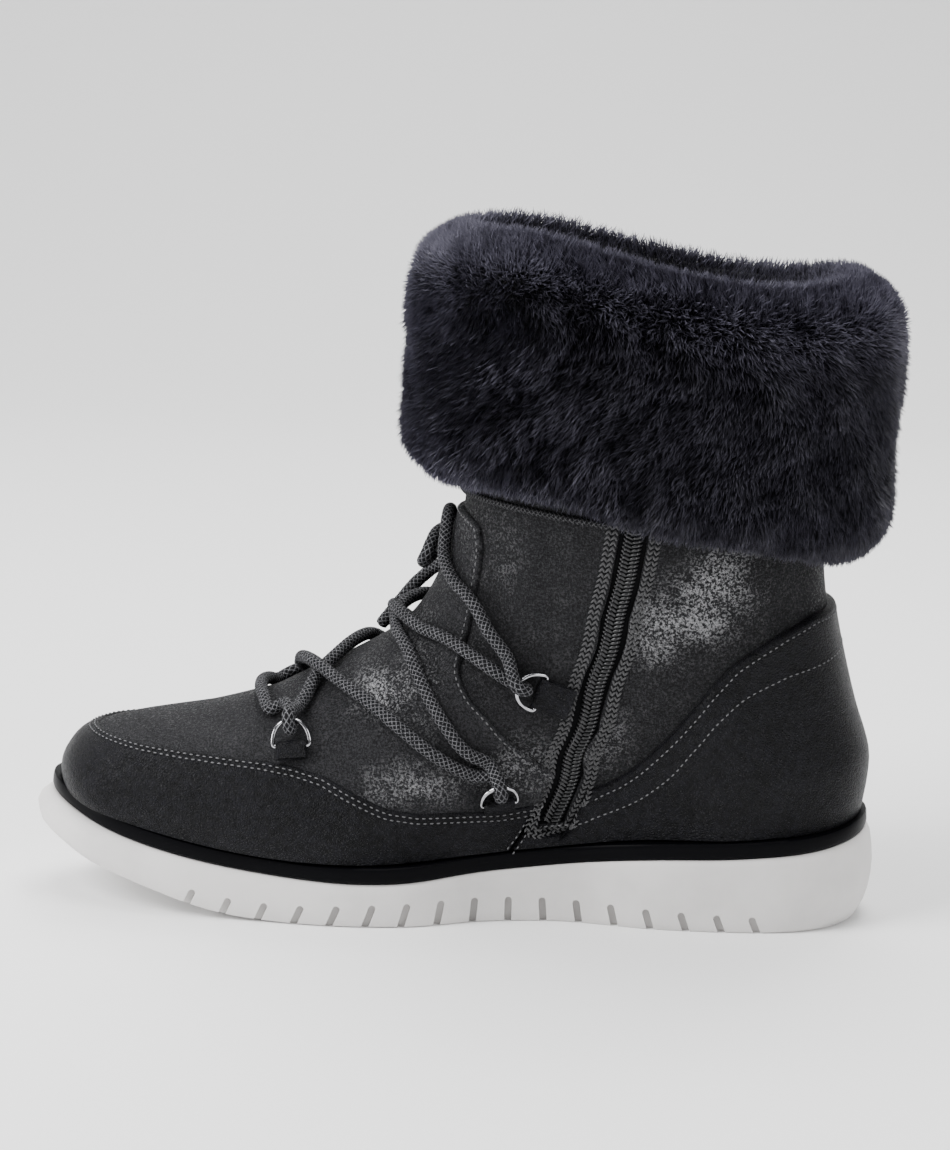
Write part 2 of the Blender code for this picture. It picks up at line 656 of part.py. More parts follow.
def groove_cutter():
    """One cutter for the lug grooves, which are deep in the sole's sides and shallow across it."""
    build = bmesh.new()
    reach = SOLE_WIDTH * 0.75
    for index in range(GROOVES):
        x = TOE_X + FIRST_GROOVE + index * LUG_PITCH
        share = index / (GROOVES - 1)
        height = float(smooth([0, 0.4, 1], [GROOVE_TOE, GROOVE_WAIST, GROOVE_HEEL], share))
        lean = float(smooth([0, 0.55, 1], [GROOVE_LEAN, 0.0, -GROOVE_LEAN], share))
        runs = (x - TOE_X) / SOLE_LENGTH
        sides = [-1, 1]
        inner = {}
        for side in sides:
            shares = [row.medial if side < 0 else row.lateral for row in SOLE_OUTLINE]
            edge = SOLE_WIDTH * half_width(shares, [row.run for row in SOLE_OUTLINE], turn_of(runs))
            inner[side] = side * (edge - GROOVE_BITE)
        low = -GROOVE_HEEL
        profile = [(-reach, low), (-reach, height), (inner[-1], height),
                   (inner[-1] + GROOVE_BITE, TREAD_GROOVE), (inner[1] - GROOVE_BITE, TREAD_GROOVE),
                   (inner[1], height), (reach, height), (reach, low)]
        sheet = build.faces.new([build.verts.new((-LUG_GROOVE / 2, y, z)) for y, z in profile])
        pulled = bmesh.ops.extrude_face_region(build, geom=[sheet])["geom"]
        corners = [item for item in pulled if isinstance(item, bmesh.types.BMVert)]
        bmesh.ops.translate(build, verts=corners, vec=(LUG_GROOVE, 0, 0))
        made = list(sheet.verts) + corners
        bmesh.ops.rotate(build, verts=made, cent=(0, 0, 0), matrix=Matrix.Rotation(lean, 3, "Y"))
        bmesh.ops.translate(build, verts=made, vec=(x, 0, tread(x)))
    mesh = bpy.data.meshes.new("grooves")
    build.to_mesh(mesh)
    build.free()
    turn_outwards(mesh)
    return cutter("grooves", mesh)


def cutter(name, mesh):
    """An object that only cuts or joins others."""
    tool = bpy.data.objects.new(name, mesh)
    bpy.data.collections["cutters"].objects.link(tool)
    tool.hide_render = True
    tool.display_type = "WIRE"
    return tool


def boolean(part, tool, operation):
    """Cuts a part with a tool or joins the tool to it."""
    step = part.modifiers.new(tool.name, "BOOLEAN")
    step.operation = operation
    step.object = tool
    step.solver = "EXACT"


def thicken(part, thickness, offset):
    """Gives an open surface its wall."""
    wall = part.modifiers.new("wall", "SOLIDIFY")
    wall.thickness = thickness
    wall.offset = offset
    wall.use_even_offset = offset < 0


def upper(finish):
    """The hollow upper: its skin from the feather edge to the collar, with a wall inwards."""
    turns = round_turns(UPPER_ROUND // 2)
    points = [skin(turn, level) for level in UPPER_LEVELS for turn in turns]
    faces = grid_faces(len(UPPER_LEVELS), len(turns), True)
    part = new_object("upper", mesh_of("upper", points, faces), finish)
    thicken(part, UPPER_WALL, -1)
    return part


def panel(name, bottom, top, start, end, columns, rows, out, thickness, finish):
    """An overlay on the upper between four edges, each a function from a share to turn and level.

    The rows are shares of the way from the bottom edge to the top edge.
    """
    points = []
    corners = [Vector(bottom(0)), Vector(bottom(1)), Vector(top(0)), Vector(top(1))]
    for b in rows:
        for column in range(columns + 1):
            a = column / columns
            spot = (1 - b) * Vector(bottom(a)) + b * Vector(top(a))
            spot += (1 - a) * Vector(start(b)) + a * Vector(end(b))
            spot -= (1 - b) * ((1 - a) * corners[0] + a * corners[1])
            spot -= b * ((1 - a) * corners[2] + a * corners[3])
            points.append(skin(spot.x, spot.y, out))
    part = new_object(name, mesh_of(name, points, grid_faces(len(rows), columns + 1, False)), finish)
    part.data.flip_normals()
    thicken(part, thickness, 1)
    return part


def mudguard(finish):
    """The leather guard round the toe, from one join with the counter to the other."""
    ends = {side: [turn_at(0.0, TOE_X + JOIN_FOOT * SOLE_LENGTH - GAP, side),
                   along_line(MUDGUARD_TOP, side, 1.0)[0]] for side in (-1, 1)}

    def turn(share, height):
        low, high = (ends[-1], ends[1])
        limit = [a + (b - a) * height for a, b in (low, high)]
        return limit[0] + (limit[1] - limit[0]) * share

    def bottom(share):
        return turn(share, 0), PANEL_FOOT

    def top(share):
        at = turn(share, 1)
        return at, edge_level(MUDGUARD_TOP, at)

    return panel("mudguard", bottom, top, lambda b: blend(bottom(0), top(0), b),
                 lambda b: blend(bottom(1), top(1), b),
                 MUDGUARD_COLUMNS, MUDGUARD_ROWS, PANEL_EASE, MUDGUARD_THICKNESS, finish)


def blend(first, last, share):
    """A pair of numbers between two pairs."""
    return tuple(a + (b - a) * share for a, b in zip(first, last))


def counter(finish):
    """The leather counter round the heel, with a notch under the zip on the medial side."""
    foot = {side: turn_at(0.0, TOE_X + JOIN_FOOT * SOLE_LENGTH + GAP, side) for side in (-1, 1)}
    head = {side: place(side, x=TOE_X + COUNTER_TOP[0].run * SOLE_LENGTH + GAP,
                        z=COUNTER_TOP[0].rise * INSTEP_HEIGHT)[0] for side in (-1, 1)}

    def turn(share, limits):
        around = 2 * math.pi - (limits[1] - limits[-1])
        return limits[-1] - around * share

    shares = [NOTCH_SHARE * i / NOTCH_COLUMNS for i in range(NOTCH_COLUMNS)]
    shares += [NOTCH_SHARE + (1 - NOTCH_SHARE) * i / HEEL_COLUMNS for i in range(HEEL_COLUMNS + 1)]
    points = []
    for row in range(COUNTER_ROWS + 1):
        for share in shares:
            top = turn(share, head)
            crossing = top if top > -math.pi else top + 2 * math.pi
            line = ZIP_NOTCH + COUNTER_TOP[1:] if crossing < 0 else COUNTER_TOP
            at, level = blend((turn(share, foot), PANEL_FOOT), (top, edge_level(line, crossing)),
                              row / COUNTER_ROWS)
            points.append(skin(at if at > -math.pi else at + 2 * math.pi, level, PANEL_EASE))
    mesh = mesh_of("counter", points, grid_faces(COUNTER_ROWS + 1, len(shares), False))
    thicken(new_object("counter", mesh, finish), COUNTER_THICKNESS, 1)


def vamp(finish):
    """The front panel: toe top, instep and shaft front, with folded side edges over the quarters."""
    above = GAP / INSTEP_HEIGHT

    def bottom(share):
        corner = VAMP_FOOT_SHARE
        if share < corner or share > 1 - corner:
            side = -1 if share < corner else 1
            part = (share if side < 0 else 1 - share) / corner
            return blend(along_line(VAMP_FOOT, side, 0.0), along_line(VAMP_FOOT, side, 1.0), part)
        limits = [along_line(VAMP_FOOT, side, 1.0)[0] for side in (-1, 1)]
        at = limits[0] + (limits[1] - limits[0]) * (share - corner) / (1 - 2 * corner)
        raised = tuple(Line(row.run, row.rise + 2 * above) for row in MUDGUARD_TOP)
        return at, edge_level(raised, at)

    def side_edge(side, share):
        return along_line(VAMP_EDGE, side, share)

    def top(share):
        at = blend(side_edge(-1, 1.0), side_edge(1, 1.0), share)[0]
        corner = VAMP_EDGE[-1].rise
        rise = corner + (VAMP_TOP - corner) * math.sqrt(max(0.0, 1 - (2 * share - 1) ** 2))
        return at, level_at(at, rise * INSTEP_HEIGHT)

    return panel("vamp", bottom, top, lambda b: side_edge(-1, b), lambda b: side_edge(1, b),
                 VAMP_COLUMNS, VAMP_ROWS, PANEL_EASE, VAMP_THICKNESS, finish)


def zip_spots(steps):
    """Centre points, directions along and normals of the zip's line, from its foot to its head."""
    knots = line_spots(ZIP_LINE, -1)
    places = range(len(knots))
    spots = []
    for step in range(steps + 1):
        at = step / steps * (len(knots) - 1)
        spots.append(tuple(float(smooth(places, [knot[i] for knot in knots], at)) for i in (0, 1)))
    points = [skin(*spot) for spot in spots]
    found = []
    for index, spot in enumerate(spots):
        ahead = points[min(index + 1, steps)] - points[max(index - 1, 0)]
        out = normal(*spot)
        ahead = (ahead - out * ahead.dot(out)).normalized()
        found.append((points[index], ahead, out))
    return found


def zip_sweep(name, profile, trim):
    """A closed mesh that carries a profile of distances across and out along the zip."""
    spots = zip_spots(ZIP_STEPS)
    points = []
    for index, (centre, ahead, out) in enumerate(spots):
        across = ahead.cross(out)
        end = -1 if index == 0 else 1 if index == len(spots) - 1 else 0
        base = centre + ahead * trim * end
        points += [base + across * a + out * o for a, o in profile]
    faces = grid_faces(len(spots), len(profile), True)
    faces += [tuple(range(len(profile))), tuple(range(len(points) - len(profile), len(points)))]
    mesh = mesh_of(name, points, faces)
    turn_outwards(mesh)
    return mesh


def zip_slot():
    """The cutter of the shallow slot that the zip lies in."""
    half, deep, high = ZIP_SLOT / 2, -ZIP_SLOT_DEPTH, COUNTER_THICKNESS
    profile = [(-half, deep), (0, deep), (half, deep), (half, high), (0, high), (-half, high)]
    return cutter("zip_slot", zip_sweep("zip_slot", profile, 0.0))


def zip_closure(finish):
    """The zip's tape with its closed coil standing proud along the middle."""
    half, coil = ZIP_SLOT / 2 - GAP, ZIP_COIL / 2
    low, tape = GAP - ZIP_SLOT_DEPTH, GAP - ZIP_SLOT_DEPTH + ZIP_TAPE
    top = GAP
    profile = [(-half, low), (0, low), (half, low), (half, tape), (coil, tape), (0.8 * coil, top),
               (0, top + GAP), (-0.8 * coil, top), (-coil, tape), (-half, tape)]
    return new_object("zip", zip_sweep("zip", profile, -GAP), finish)


def ring_frame(spot, out):
    """Where a ring's bar lies, with the directions that its loop reaches in, across and out."""
    side, x, z, angle = spot.side, TOE_X + spot.run * SOLE_LENGTH, spot.rise * INSTEP_HEIGHT, spot.angle
    turn, level = place(side, x=x, z=z)
    away = normal(turn, level)
    ahead = (Vector((1, 0, 0)) - away * away.x).normalized()
    up = away.cross(ahead) * (1 if away.cross(ahead).z > 0 else -1)
    reach = ahead * math.cos(angle) + up * math.sin(angle)
    return skin(turn, level, out), reach, reach.cross(away), away


def poly_curve(name, points, thickness, finish, closed=False):
    """A round rod or cord through points, with filled ends."""
    data = bpy.data.curves.new(name, "CURVE")
    data.dimensions = "3D"
    data.bevel_depth = thickness / 2
    data.bevel_resolution = 2
    data.use_fill_caps = not closed
    spline = data.splines.new("POLY")
    spline.points.add(len(points) - 1)
    for point, spot in zip(spline.points, points):
        point.co = (*spot, 1.0)
    spline.use_cyclic_u = closed
    data.materials.append(finish)
    rod = bpy.data.objects.new(name, data)
    bpy.data.collections["snow_boot"].objects.link(rod)
    return rod


def as_mesh(rod):
    """Turns a curve object into a mesh object of the same name, with its caps welded."""
    view = rod.evaluated_get(bpy.context.evaluated_depsgraph_get())
    mesh = bpy.data.meshes.new_from_object(view)
    build = bmesh.new()
    build.from_mesh(mesh)
    bmesh.ops.remove_doubles(build, verts=build.verts, dist=1e-6)
    build.to_mesh(mesh)
    build.free()
    name, matrix = rod.name, rod.matrix_world.copy()
    bpy.data.objects.remove(rod, do_unlink=True)
    solid = bpy.data.objects.new(name, mesh)
    bpy.data.collections["snow_boot"].objects.link(solid)
    solid.matrix_world = matrix
    mesh.name = name
    return solid


def ring_and_tab(spot, steel, leather):
    """A D-ring and the folded leather tab that holds its bar."""
    fold = RING_WIRE / 2 + GAP + TAB_THICKNESS / 2
    height = spot.base + CORD_EASE + TAB_THICKNESS / 2 + fold
    bar, reach, across, away = ring_frame(spot, height)
    lifted = (reach * math.cos(RING_TILT) + away * math.sin(RING_TILT)).normalized()
    points = []
    for step in range(RING_STEPS + 1):
        angle = math.pi * step / RING_STEPS
        points.append(bar + across * (math.cos(angle) * RING_WIDTH / 2)
                      + lifted * (math.sin(angle) ** 0.8 * RING_HEIGHT))
    poly_curve("d_ring_" + spot.name, points, RING_WIRE, steel, closed=True)
    path = [(-spot.length, -fold)]
    path += [(fold * math.sin(turn), -fold * math.cos(turn)) for turn in np.linspace(0, math.pi, 6)]
    meet = -fold + TAB_THICKNESS + GAP
    path += [(-0.5 * spot.length - fold / 2, meet + 0.2 * fold), (-spot.length, meet)]
    points = []
    for a, o in path:
        edge = bar + reach * a + away * o
        points += [edge - across * TAB_WIDTH / 2, edge + across * TAB_WIDTH / 2]
    name = "tab_" + spot.name
    part = new_object(name, mesh_of(name, points, grid_faces(len(path), 2, False)), leather)
    thicken(part, TAB_THICKNESS, 0)


def route(rows):
    """The points of a cord, read from a smooth curve through its rows over the upper's skin."""
    spots = []
    for row in rows:
        given = {key: getattr(row, key) * MM for key in ("x", "y", "z") if getattr(row, key) is not None}
        if "x" in given:
            given["x"] += SOLE_MIDDLE
        turn, level = place(row.side, **given)
        spots.append(skin(turn, level, LACE_LIFT + row.lift * MM))
    lengths = [0.0]
    for first, last in zip(spots, spots[1:]):
        lengths.append(lengths[-1] + (last - first).length)
    steps = max(4, round(lengths[-1] / (2.3 * LACE_THICKNESS)))
    axes = [[spot[i] for spot in spots] for i in range(3)]
    return [Vector([float(smooth(lengths, axis, lengths[-1] * i / steps)) for axis in axes])
            for i in range(steps + 1)]


def laces(cord):
    """The lace's bar and crossings, its two top runs, and its small bow with knot, loops and ends."""
    poly_curve("lace_bar", route(LACE_BAR), LACE_THICKNESS, cord)
    for name, runs in (("lace_lower_crossing", LACE_LOWER), ("lace_upper_crossing", LACE_UPPER)):
        first, second = [as_mesh(poly_curve(name + end, route(rows), LACE_THICKNESS, cord))
                         for rows, end in zip(runs, ("", "_other"))]
        move_to(second, "cutters")
        second.hide_render = True
        second.display_type = "WIRE"
        boolean(first, second, "UNION")
    for name, rows in LACE_RUNS.items():
        poly_curve(name, route(rows), LACE_THICKNESS, cord)
    turn, level = place(1, y=KNOT.y * MM, z=KNOT.z * MM)
    centre = skin(turn, level, LACE_LIFT + KNOT.lift * MM)
    build = bmesh.new()
    bmesh.ops.create_uvsphere(build, u_segments=12, v_segments=8, radius=KNOT_SIZE / 2)
    bmesh.ops.scale(build, verts=build.verts, vec=(0.85, 1.15, 0.9))
    bmesh.ops.translate(build, verts=build.verts, vec=centre)
    mesh = bpy.data.meshes.new("lace_knot")
    build.to_mesh(mesh)
    build.free()
    mesh.shade_smooth()
    new_object("lace_knot", mesh, cord)


def fur_depth(turn):
    """How far the fur stands out of the shaft at a turn."""
    front, back = max(0.0, math.cos(turn)) ** 2, max(0.0, -math.cos(turn)) ** 2
    return FUR_SIDE + (FUR_FRONT - FUR_SIDE) * front + (FUR_BACK - FUR_SIDE) * back


def cuff_height(rows, turn, size):
    """Height of the cuff's hem or top round the shaft."""
    return size * float(smooth([row.run for row in rows], [row.rise for row in rows], run_of(abs(turn))))


def shaft_place(turn, z):
    """The shaft's point at a turn and height, carried straight up above the collar, and its way out."""
    level = level_at(turn, z)
    point = skin(turn, level)
    away = normal(turn, min(level, COLLAR - 0.1))
    away.z = 0.0
    return Vector((point.x, point.y, z)), away.normalized()


def lock(turn, share):
    """How far a lock of fur stands up: rows of overlapping tufts, each shifted against the last."""
    rows = 5.0
    row = math.floor(share * rows)
    down = share * rows - row
    across = (turn / (2 * math.pi) * LOCKS + 0.5 * (row % 2) + 0.21 * math.sin(2.3 * row)) % 1.0
    tuft = math.sin(math.pi * across)
    uneven = 0.75 + 0.25 * math.sin(5.0 * turn + 1.7 * row)
    return LOCK_DEPTH * uneven * tuft * (1.0 - down) ** 0.7


def fur_cuff(finish):
    """The fur cuff: a ring that clips over the shaft's collar, with locks on its outer face."""
    turns = round_turns(CUFF_ROUND // 2)
    inner = UPPER_WALL + CUFF_EASE
    columns = []
    for turn in turns:
        hem = cuff_height(CUFF_HEM, turn, CUFF_HEM_HEIGHT)
        top = cuff_height(CUFF_TOP, turn, CUFF_TOP_HEIGHT)
        rim = skin(turn, COLLAR).z
        column = []
        for row in CUFF_SECTION:
            z = hem + row.rise * (top - hem)
            base, away = shaft_place(turn, z)
            out = max(row.depth * fur_depth(turn), CUFF_EASE)
            fade = min(1.0, row.depth / 0.4) if row.rise < 0.9 else 0.0
            column.append(base + away * (out + fade * (lock(turn, row.rise) - LOCK_DEPTH / 2)))
        middle = (hem + rim) / 2
        for out, z in ((-inner - 0.6 * FUR_LINING, rim + 0.6 * (top - rim)),
                       (-inner - FUR_LINING, rim), (-inner - FUR_LINING, rim - CUFF_SKIRT),
                       (-inner, rim - CUFF_SKIRT), (-inner, rim + GAP), (CUFF_EASE, rim + GAP),
                       (CUFF_EASE, middle + (rim - middle) / 2), (CUFF_EASE, middle)):
            base, away = shaft_place(turn, z)
            column.append(base + away * out)
        columns.append(column)
    count = len(columns[0])
    points = [columns[c][r] for r in range(count) for c in range(len(turns))]
    faces = grid_faces(count, len(turns), True)
    last = (count - 1) * len(turns)
    for column in range(len(turns)):
        after = (column + 1) % len(turns)
        faces.append((last + column, last + after, after, column))
    mesh = mesh_of("fur_cuff", points, faces)
    turn_outwards(mesh)
    return new_object("fur_cuff", mesh, finish)


def cuff_seam(finish):
    """The corded seam on the shaft just under the fur, from the zip round the front."""
    rows = line_spots(SEAM_LINE, -1)[::-1] + line_spots(SEAM_LINE, 1)[1:]
    knots = range(len(rows))
    steps = 20
    points = []
    for step in range(steps + 1):
        at = step / steps * (len(rows) - 1)
        turn, level = [float(smooth(knots, [row[i] for row in rows], at)) for i in (0, 1)]
        points.append(skin(turn, level, CORD_EASE + GAP + CUFF_SEAM / 2))
    poly_curve("cuff_seam", points, CUFF_SEAM, finish)


def material(name, colour, roughness, metallic=0.0):
    """A plain material of one colour."""
    made = bpy.data.materials.new(name)
    made.use_nodes = True
    shader = made.node_tree.nodes["Principled BSDF"]
    shader.inputs["Base Color"].default_value = (*colour, 1.0)
    shader.inputs["Roughness"].default_value = roughness
    shader.inputs["Metallic"].default_value = metallic
    made.diffuse_color = (*colour, 1.0)
    return made


def clear_scene():
    """Empties the scene and makes the collection of parts and the collection of cutters."""
    for thing in list(bpy.data.objects):
        bpy.data.objects.remove(thing, do_unlink=True)
    for name in ("snow_boot", "cutters"):
        bpy.context.scene.collection.children.link(bpy.data.collections.new(name))
    bpy.data.collections["cutters"].hide_render = True


def main():
    clear_scene()
    white_rubber = material("white_rubber", (0.60, 0.59, 0.58), 0.6)
    black_rubber = material("black_rubber", (0.008, 0.008, 0.010), 0.5)
    lining = material("lining", (0.03, 0.03, 0.035), 0.9)
    suede = material("suede", (0.035, 0.035, 0.038), 0.7)
    leather = material("leather", (0.013, 0.013, 0.015), 0.45)
    steel = material("steel", (0.75, 0.75, 0.77), 0.2, 1.0)
    nylon = material("nylon", (0.02, 0.02, 0.022), 0.45)
    cord = material("cord", (0.03, 0.03, 0.032), 0.8)
    fur = material("fur", (0.025, 0.024, 0.032), 0.9)
    outsole = slab("outsole", OUTSOLE_LEVELS, sole_outline, tread, outsole_top, white_rubber)
    boolean(outsole, groove_cutter(), "DIFFERENCE")
    slab("midsole", WELT_LEVELS, sole_outline, lambda x: outsole_top(x) + GAP, welt_top, black_rubber)
    slab("insole", INSOLE_LEVELS, insole_outline, feather, lambda x: feather(x) + INSOLE_THICKNESS, lining)
    boolean(upper(suede), zip_slot(), "DIFFERENCE")
    vamp(suede)
    mudguard(leather)
    counter(leather)
    zip_closure(nylon)
    for spot in RING_SPOTS:
        ring_and_tab(spot, steel, leather)
    laces(cord)
    fur_cuff(fur)
    cuff_seam(cord)


main()
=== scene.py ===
"""A right snow boot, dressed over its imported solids.

X runs along the foot with the toe at -X, the zip is on the inner side at -Y, and Z is up.
"""

import math
from collections import namedtuple

import bmesh
import bpy
import numpy as np
from bpy.props import FloatProperty, FloatVectorProperty, IntProperty, PointerProperty
from mathutils import Matrix, Vector


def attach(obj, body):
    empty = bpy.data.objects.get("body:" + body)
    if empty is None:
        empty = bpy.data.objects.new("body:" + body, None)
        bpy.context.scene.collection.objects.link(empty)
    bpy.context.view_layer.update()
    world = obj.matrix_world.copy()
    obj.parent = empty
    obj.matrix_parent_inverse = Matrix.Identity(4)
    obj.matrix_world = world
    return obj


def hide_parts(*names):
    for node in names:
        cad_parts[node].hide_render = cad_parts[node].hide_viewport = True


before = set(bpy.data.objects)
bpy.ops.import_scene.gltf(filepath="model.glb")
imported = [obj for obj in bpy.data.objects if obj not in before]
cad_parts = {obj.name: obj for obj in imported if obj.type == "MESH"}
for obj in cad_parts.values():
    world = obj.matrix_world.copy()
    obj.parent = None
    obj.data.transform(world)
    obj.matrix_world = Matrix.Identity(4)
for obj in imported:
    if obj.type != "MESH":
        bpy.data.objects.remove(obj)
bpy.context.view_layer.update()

bl_info = {
    "name": "Snow Boot",
    "version": (1, 0, 0),
    "blender": (4, 5, 0),
    "location": "3D View > Sidebar > Snow Boot",
    "description": "Makes a snow boot with a fur cuff, a side zip and a laced front",
    "category": "Object",
}

MM = 0.001

# Sizes that follow the solids, in metres
SOLE_LENGTH, SOLE_WIDTH = 0.288, 0.0963
OUTSOLE_HEEL, TOE_SPRING = 0.026, 0.018
WELT_THICKNESS = 0.0055
LUG_PITCH, LUG_GROOVE, GROOVES, FIRST_GROOVE = 0.01204, 0.0024, 17, 0.0545
TOE_LEDGE, HEEL_LEDGE, SIDE_LEDGE = 0.0114, 0.0076, 0.0048
INSTEP_RUN, INSTEP_RISE, SHAFT_RISE = 0.1326, 0.056, 0.1245
COUNTER_RISE, BACK_RISE, HEEL_LEAN, SHAFT_WIDTH = 0.065, 0.1115, 0.016, 0.094
UPPER_WALL = 0.0028
ZIP_SLOT, ZIP_SLOT_DEPTH = 0.0095, 0.0016
RING_WIDTH, RING_HEIGHT, RING_TILT = 0.0126, 0.0088, math.radians(24)
TAB_WIDTH, TAB_THICKNESS = 0.0102, 0.0010
CUFF_SEAM = 0.0022
FUR_FRONT, FUR_SIDE, FUR_BACK, FUR_LINING = 0.025, 0.017, 0.025, 0.0045
CUFF_SKIRT, CUFF_HEM_HEIGHT, CUFF_TOP_HEIGHT = 0.022, 0.141, 0.236
GROOVE_TOE, GROOVE_WAIST, GROOVE_HEEL, GROOVE_BITE = 0.006, 0.009, 0.0065, 0.0035
GROOVE_LEAN, TREAD_GROOVE = math.radians(23), 0.0025
GAP = 0.0003
SOLE_MIDDLE = -0.00135
TOE_X, HEEL_X = SOLE_MIDDLE - SOLE_LENGTH / 2, SOLE_MIDDLE + SOLE_LENGTH / 2
FEATHER_TOE, FEATHER_HEEL = TOE_X + TOE_LEDGE, HEEL_X - HEEL_LEDGE
FEATHER_WIDTH = SOLE_WIDTH - 2 * SIDE_LEDGE
PANEL_FOOT = 0.2

# How far the faces of the sewn panels stand out of the upper's skin, and the tabs' undersides
VAMP_FACE = 0.0020
LEATHER_FACE = 0.0028
PANEL_EASE = 0.0011
TAB_BASE = 0.0023
LACE_LIFT = 0.0047

# How far each sewn row lies inside its panel's edge
GUARD_ROWS, COUNTER_INSET, VAMP_INSET = (0.0016, 0.0034), 0.0024, 0.0014

# Shares of the sole's length: where the mudguard stops lying on the front panel, and where the
# counter's edge leaves the zip's notch
VAMP_REST, NOTCH_BACK = 0.592, 0.656


def table(kind, *rows):
    """Rows of a table, each of one kind."""
    return tuple(kind(*row) for row in rows)


Outline = namedtuple("Outline", "run medial lateral")
SOLE_OUTLINE = table(
    Outline, (0.02, 0.18, 0.18), (0.07, 0.31, 0.32), (0.15, 0.39, 0.45), (0.27, 0.43, 0.52),
    (0.38, 0.455, 0.545), (0.45, 0.43, 0.535), (0.53, 0.335, 0.49), (0.62, 0.296, 0.43),
    (0.74, 0.356, 0.385), (0.83, 0.366, 0.375), (0.92, 0.33, 0.33), (0.97, 0.235, 0.235))
Line = namedtuple("Line", "run rise")
OUTSOLE_TOP = table(
    Line, (0.0, 1.42), (0.02, 1.35), (0.09, 1.07), (0.205, 0.77), (0.32, 0.61), (0.42, 0.58),
    (0.51, 0.66), (0.61, 0.76), (0.73, 0.93), (0.84, 1.0), (0.95, 1.13), (1.0, 1.25))
TREAD = table(
    Line, (0.0, 1.1), (0.035, 1.0), (0.07, 0.82), (0.11, 0.64), (0.15, 0.45), (0.18, 0.31),
    (0.22, 0.15), (0.27, 0.04), (0.31, 0.0), (1.0, 0.0))
Level = namedtuple("Level", "rise toe side heel")
OUTSOLE_LEVELS = table(
    Level, (0.0, 0.0085, 0.0026, 0.0062), (0.03, 0.0068, 0.0016, 0.0048), (0.1, 0.0050, 0.0009, 0.0035),
    (0.2, 0.0028, 0.0005, 0.0020), (0.3, 0.0012, 0.0002, 0.0010), (0.45, 0.0004, 0.0, 0.0002),
    (0.6, 0.0, 0.0, 0.0), (0.75, 0.0011, 0.0, 0.0004), (0.9, 0.0035, 0.0002, 0.0012),
    (0.96, 0.0048, 0.0006, 0.0020), (1.0, 0.0062, 0.0014, 0.0030))
WELT_LEVELS = table(
    Level, (0.0, 0.0064, 0.0010, 0.0032), (0.08, 0.0053, 0.0004, 0.0028),
    (0.25, 0.0050, 0.0001, 0.0026), (0.5, 0.0051, 0.0001, 0.0027), (0.75, 0.0053, 0.0001, 0.0028),
    (0.92, 0.0056, 0.0003, 0.0031), (1.0, 0.0066, 0.0010, 0.0040))

# The upper's rings, from the feather edge to the collar
STATIONS = (0.03, 0.11, 0.35, 0.615, 0.85, 0.97)
Ring = namedtuple("Ring", "name front_run front_rise lean back_rise follow shaft medial lateral")
RINGS = (
    Ring("feather", 0.0, 0.0, 0.0, 0.0, 1.0, 0.0,
         (0.29, 0.38, 0.46, 0.29, 0.355, 0.225), (0.28, 0.405, 0.535, 0.445, 0.355, 0.23)),
    Ring("rand", -0.005, 0.06, -0.04, 0.075, 0.9, 0.0,
         (0.30, 0.39, 0.47, 0.30, 0.365, 0.24), (0.285, 0.415, 0.545, 0.455, 0.365, 0.24)),
    Ring("bumper", 0.005, 0.145, -0.1, 0.185, 0.7, 0.0,
         (0.29, 0.39, 0.47, 0.315, 0.375, 0.245), (0.28, 0.415, 0.545, 0.46, 0.375, 0.245)),
    Ring("toe top", 0.045, 0.255, -0.11, 0.305, 0.45, 0.0,
         (0.23, 0.35, 0.455, 0.345, 0.38, 0.25), (0.23, 0.37, 0.52, 0.46, 0.38, 0.25)),
    Ring("apron", 0.14, 0.335, 0.01, 0.415, 0.25, 0.0,
         (0.16, 0.30, 0.43, 0.37, 0.375, 0.24), (0.165, 0.32, 0.48, 0.45, 0.375, 0.24)),
    Ring("vamp", 0.315, 0.405, 0.19, 0.535, 0.1, 0.1,
         (0.143, 0.27, 0.415, 0.39, 0.368, 0.23), (0.147, 0.283, 0.445, 0.44, 0.368, 0.23)),
    Ring("ball top", 0.51, 0.54, 0.35, 0.665, 0.03, 0.2,
         (0.143, 0.268, 0.403, 0.403, 0.357, 0.22), (0.147, 0.275, 0.42, 0.425, 0.357, 0.22)),
    Ring("waist top", 0.70, 0.757, 0.525, 0.825, 0.0, 0.4,
         (0.143, 0.261, 0.39, 0.408, 0.346, 0.212), (0.145, 0.266, 0.401, 0.417, 0.346, 0.212)),
    Ring("instep", 0.86, 1.0, 0.7, 1.0, 0.0, 0.6,
         (0.143, 0.259, 0.397, 0.417, 0.34, 0.206), (0.143, 0.261, 0.401, 0.421, 0.34, 0.206)),
    Ring("throat", 0.947, 1.14, 0.85, 1.11, 0.0, 0.8,
         (0.151, 0.272, 0.415, 0.432, 0.341, 0.203), (0.151, 0.272, 0.417, 0.434, 0.341, 0.203)),
    Ring("ankle", 0.988, 1.3, 0.938, 1.23, 0.0, 1.0,
         (0.166, 0.291, 0.436, 0.451, 0.351, 0.204), (0.166, 0.291, 0.436, 0.451, 0.351, 0.204)),
    Ring("shin", 1.003, 1.46, 0.975, 1.375, 0.0, 1.0,
         (0.18, 0.313, 0.46, 0.472, 0.366, 0.213), (0.18, 0.313, 0.46, 0.472, 0.366, 0.213)),
    Ring("calf", 1.005, 1.735, 0.9, 1.72, 0.0, 1.0,
         (0.19, 0.33, 0.479, 0.489, 0.379, 0.219), (0.19, 0.33, 0.479, 0.489, 0.379, 0.219)),
    Ring("collar", 0.997, 2.0, 0.775, 2.0, 0.0, 1.0,
         (0.196, 0.338, 0.489, 0.5, 0.385, 0.223), (0.196, 0.338, 0.489, 0.5, 0.385, 0.223)),
)
COLLAR = len(RINGS) - 1
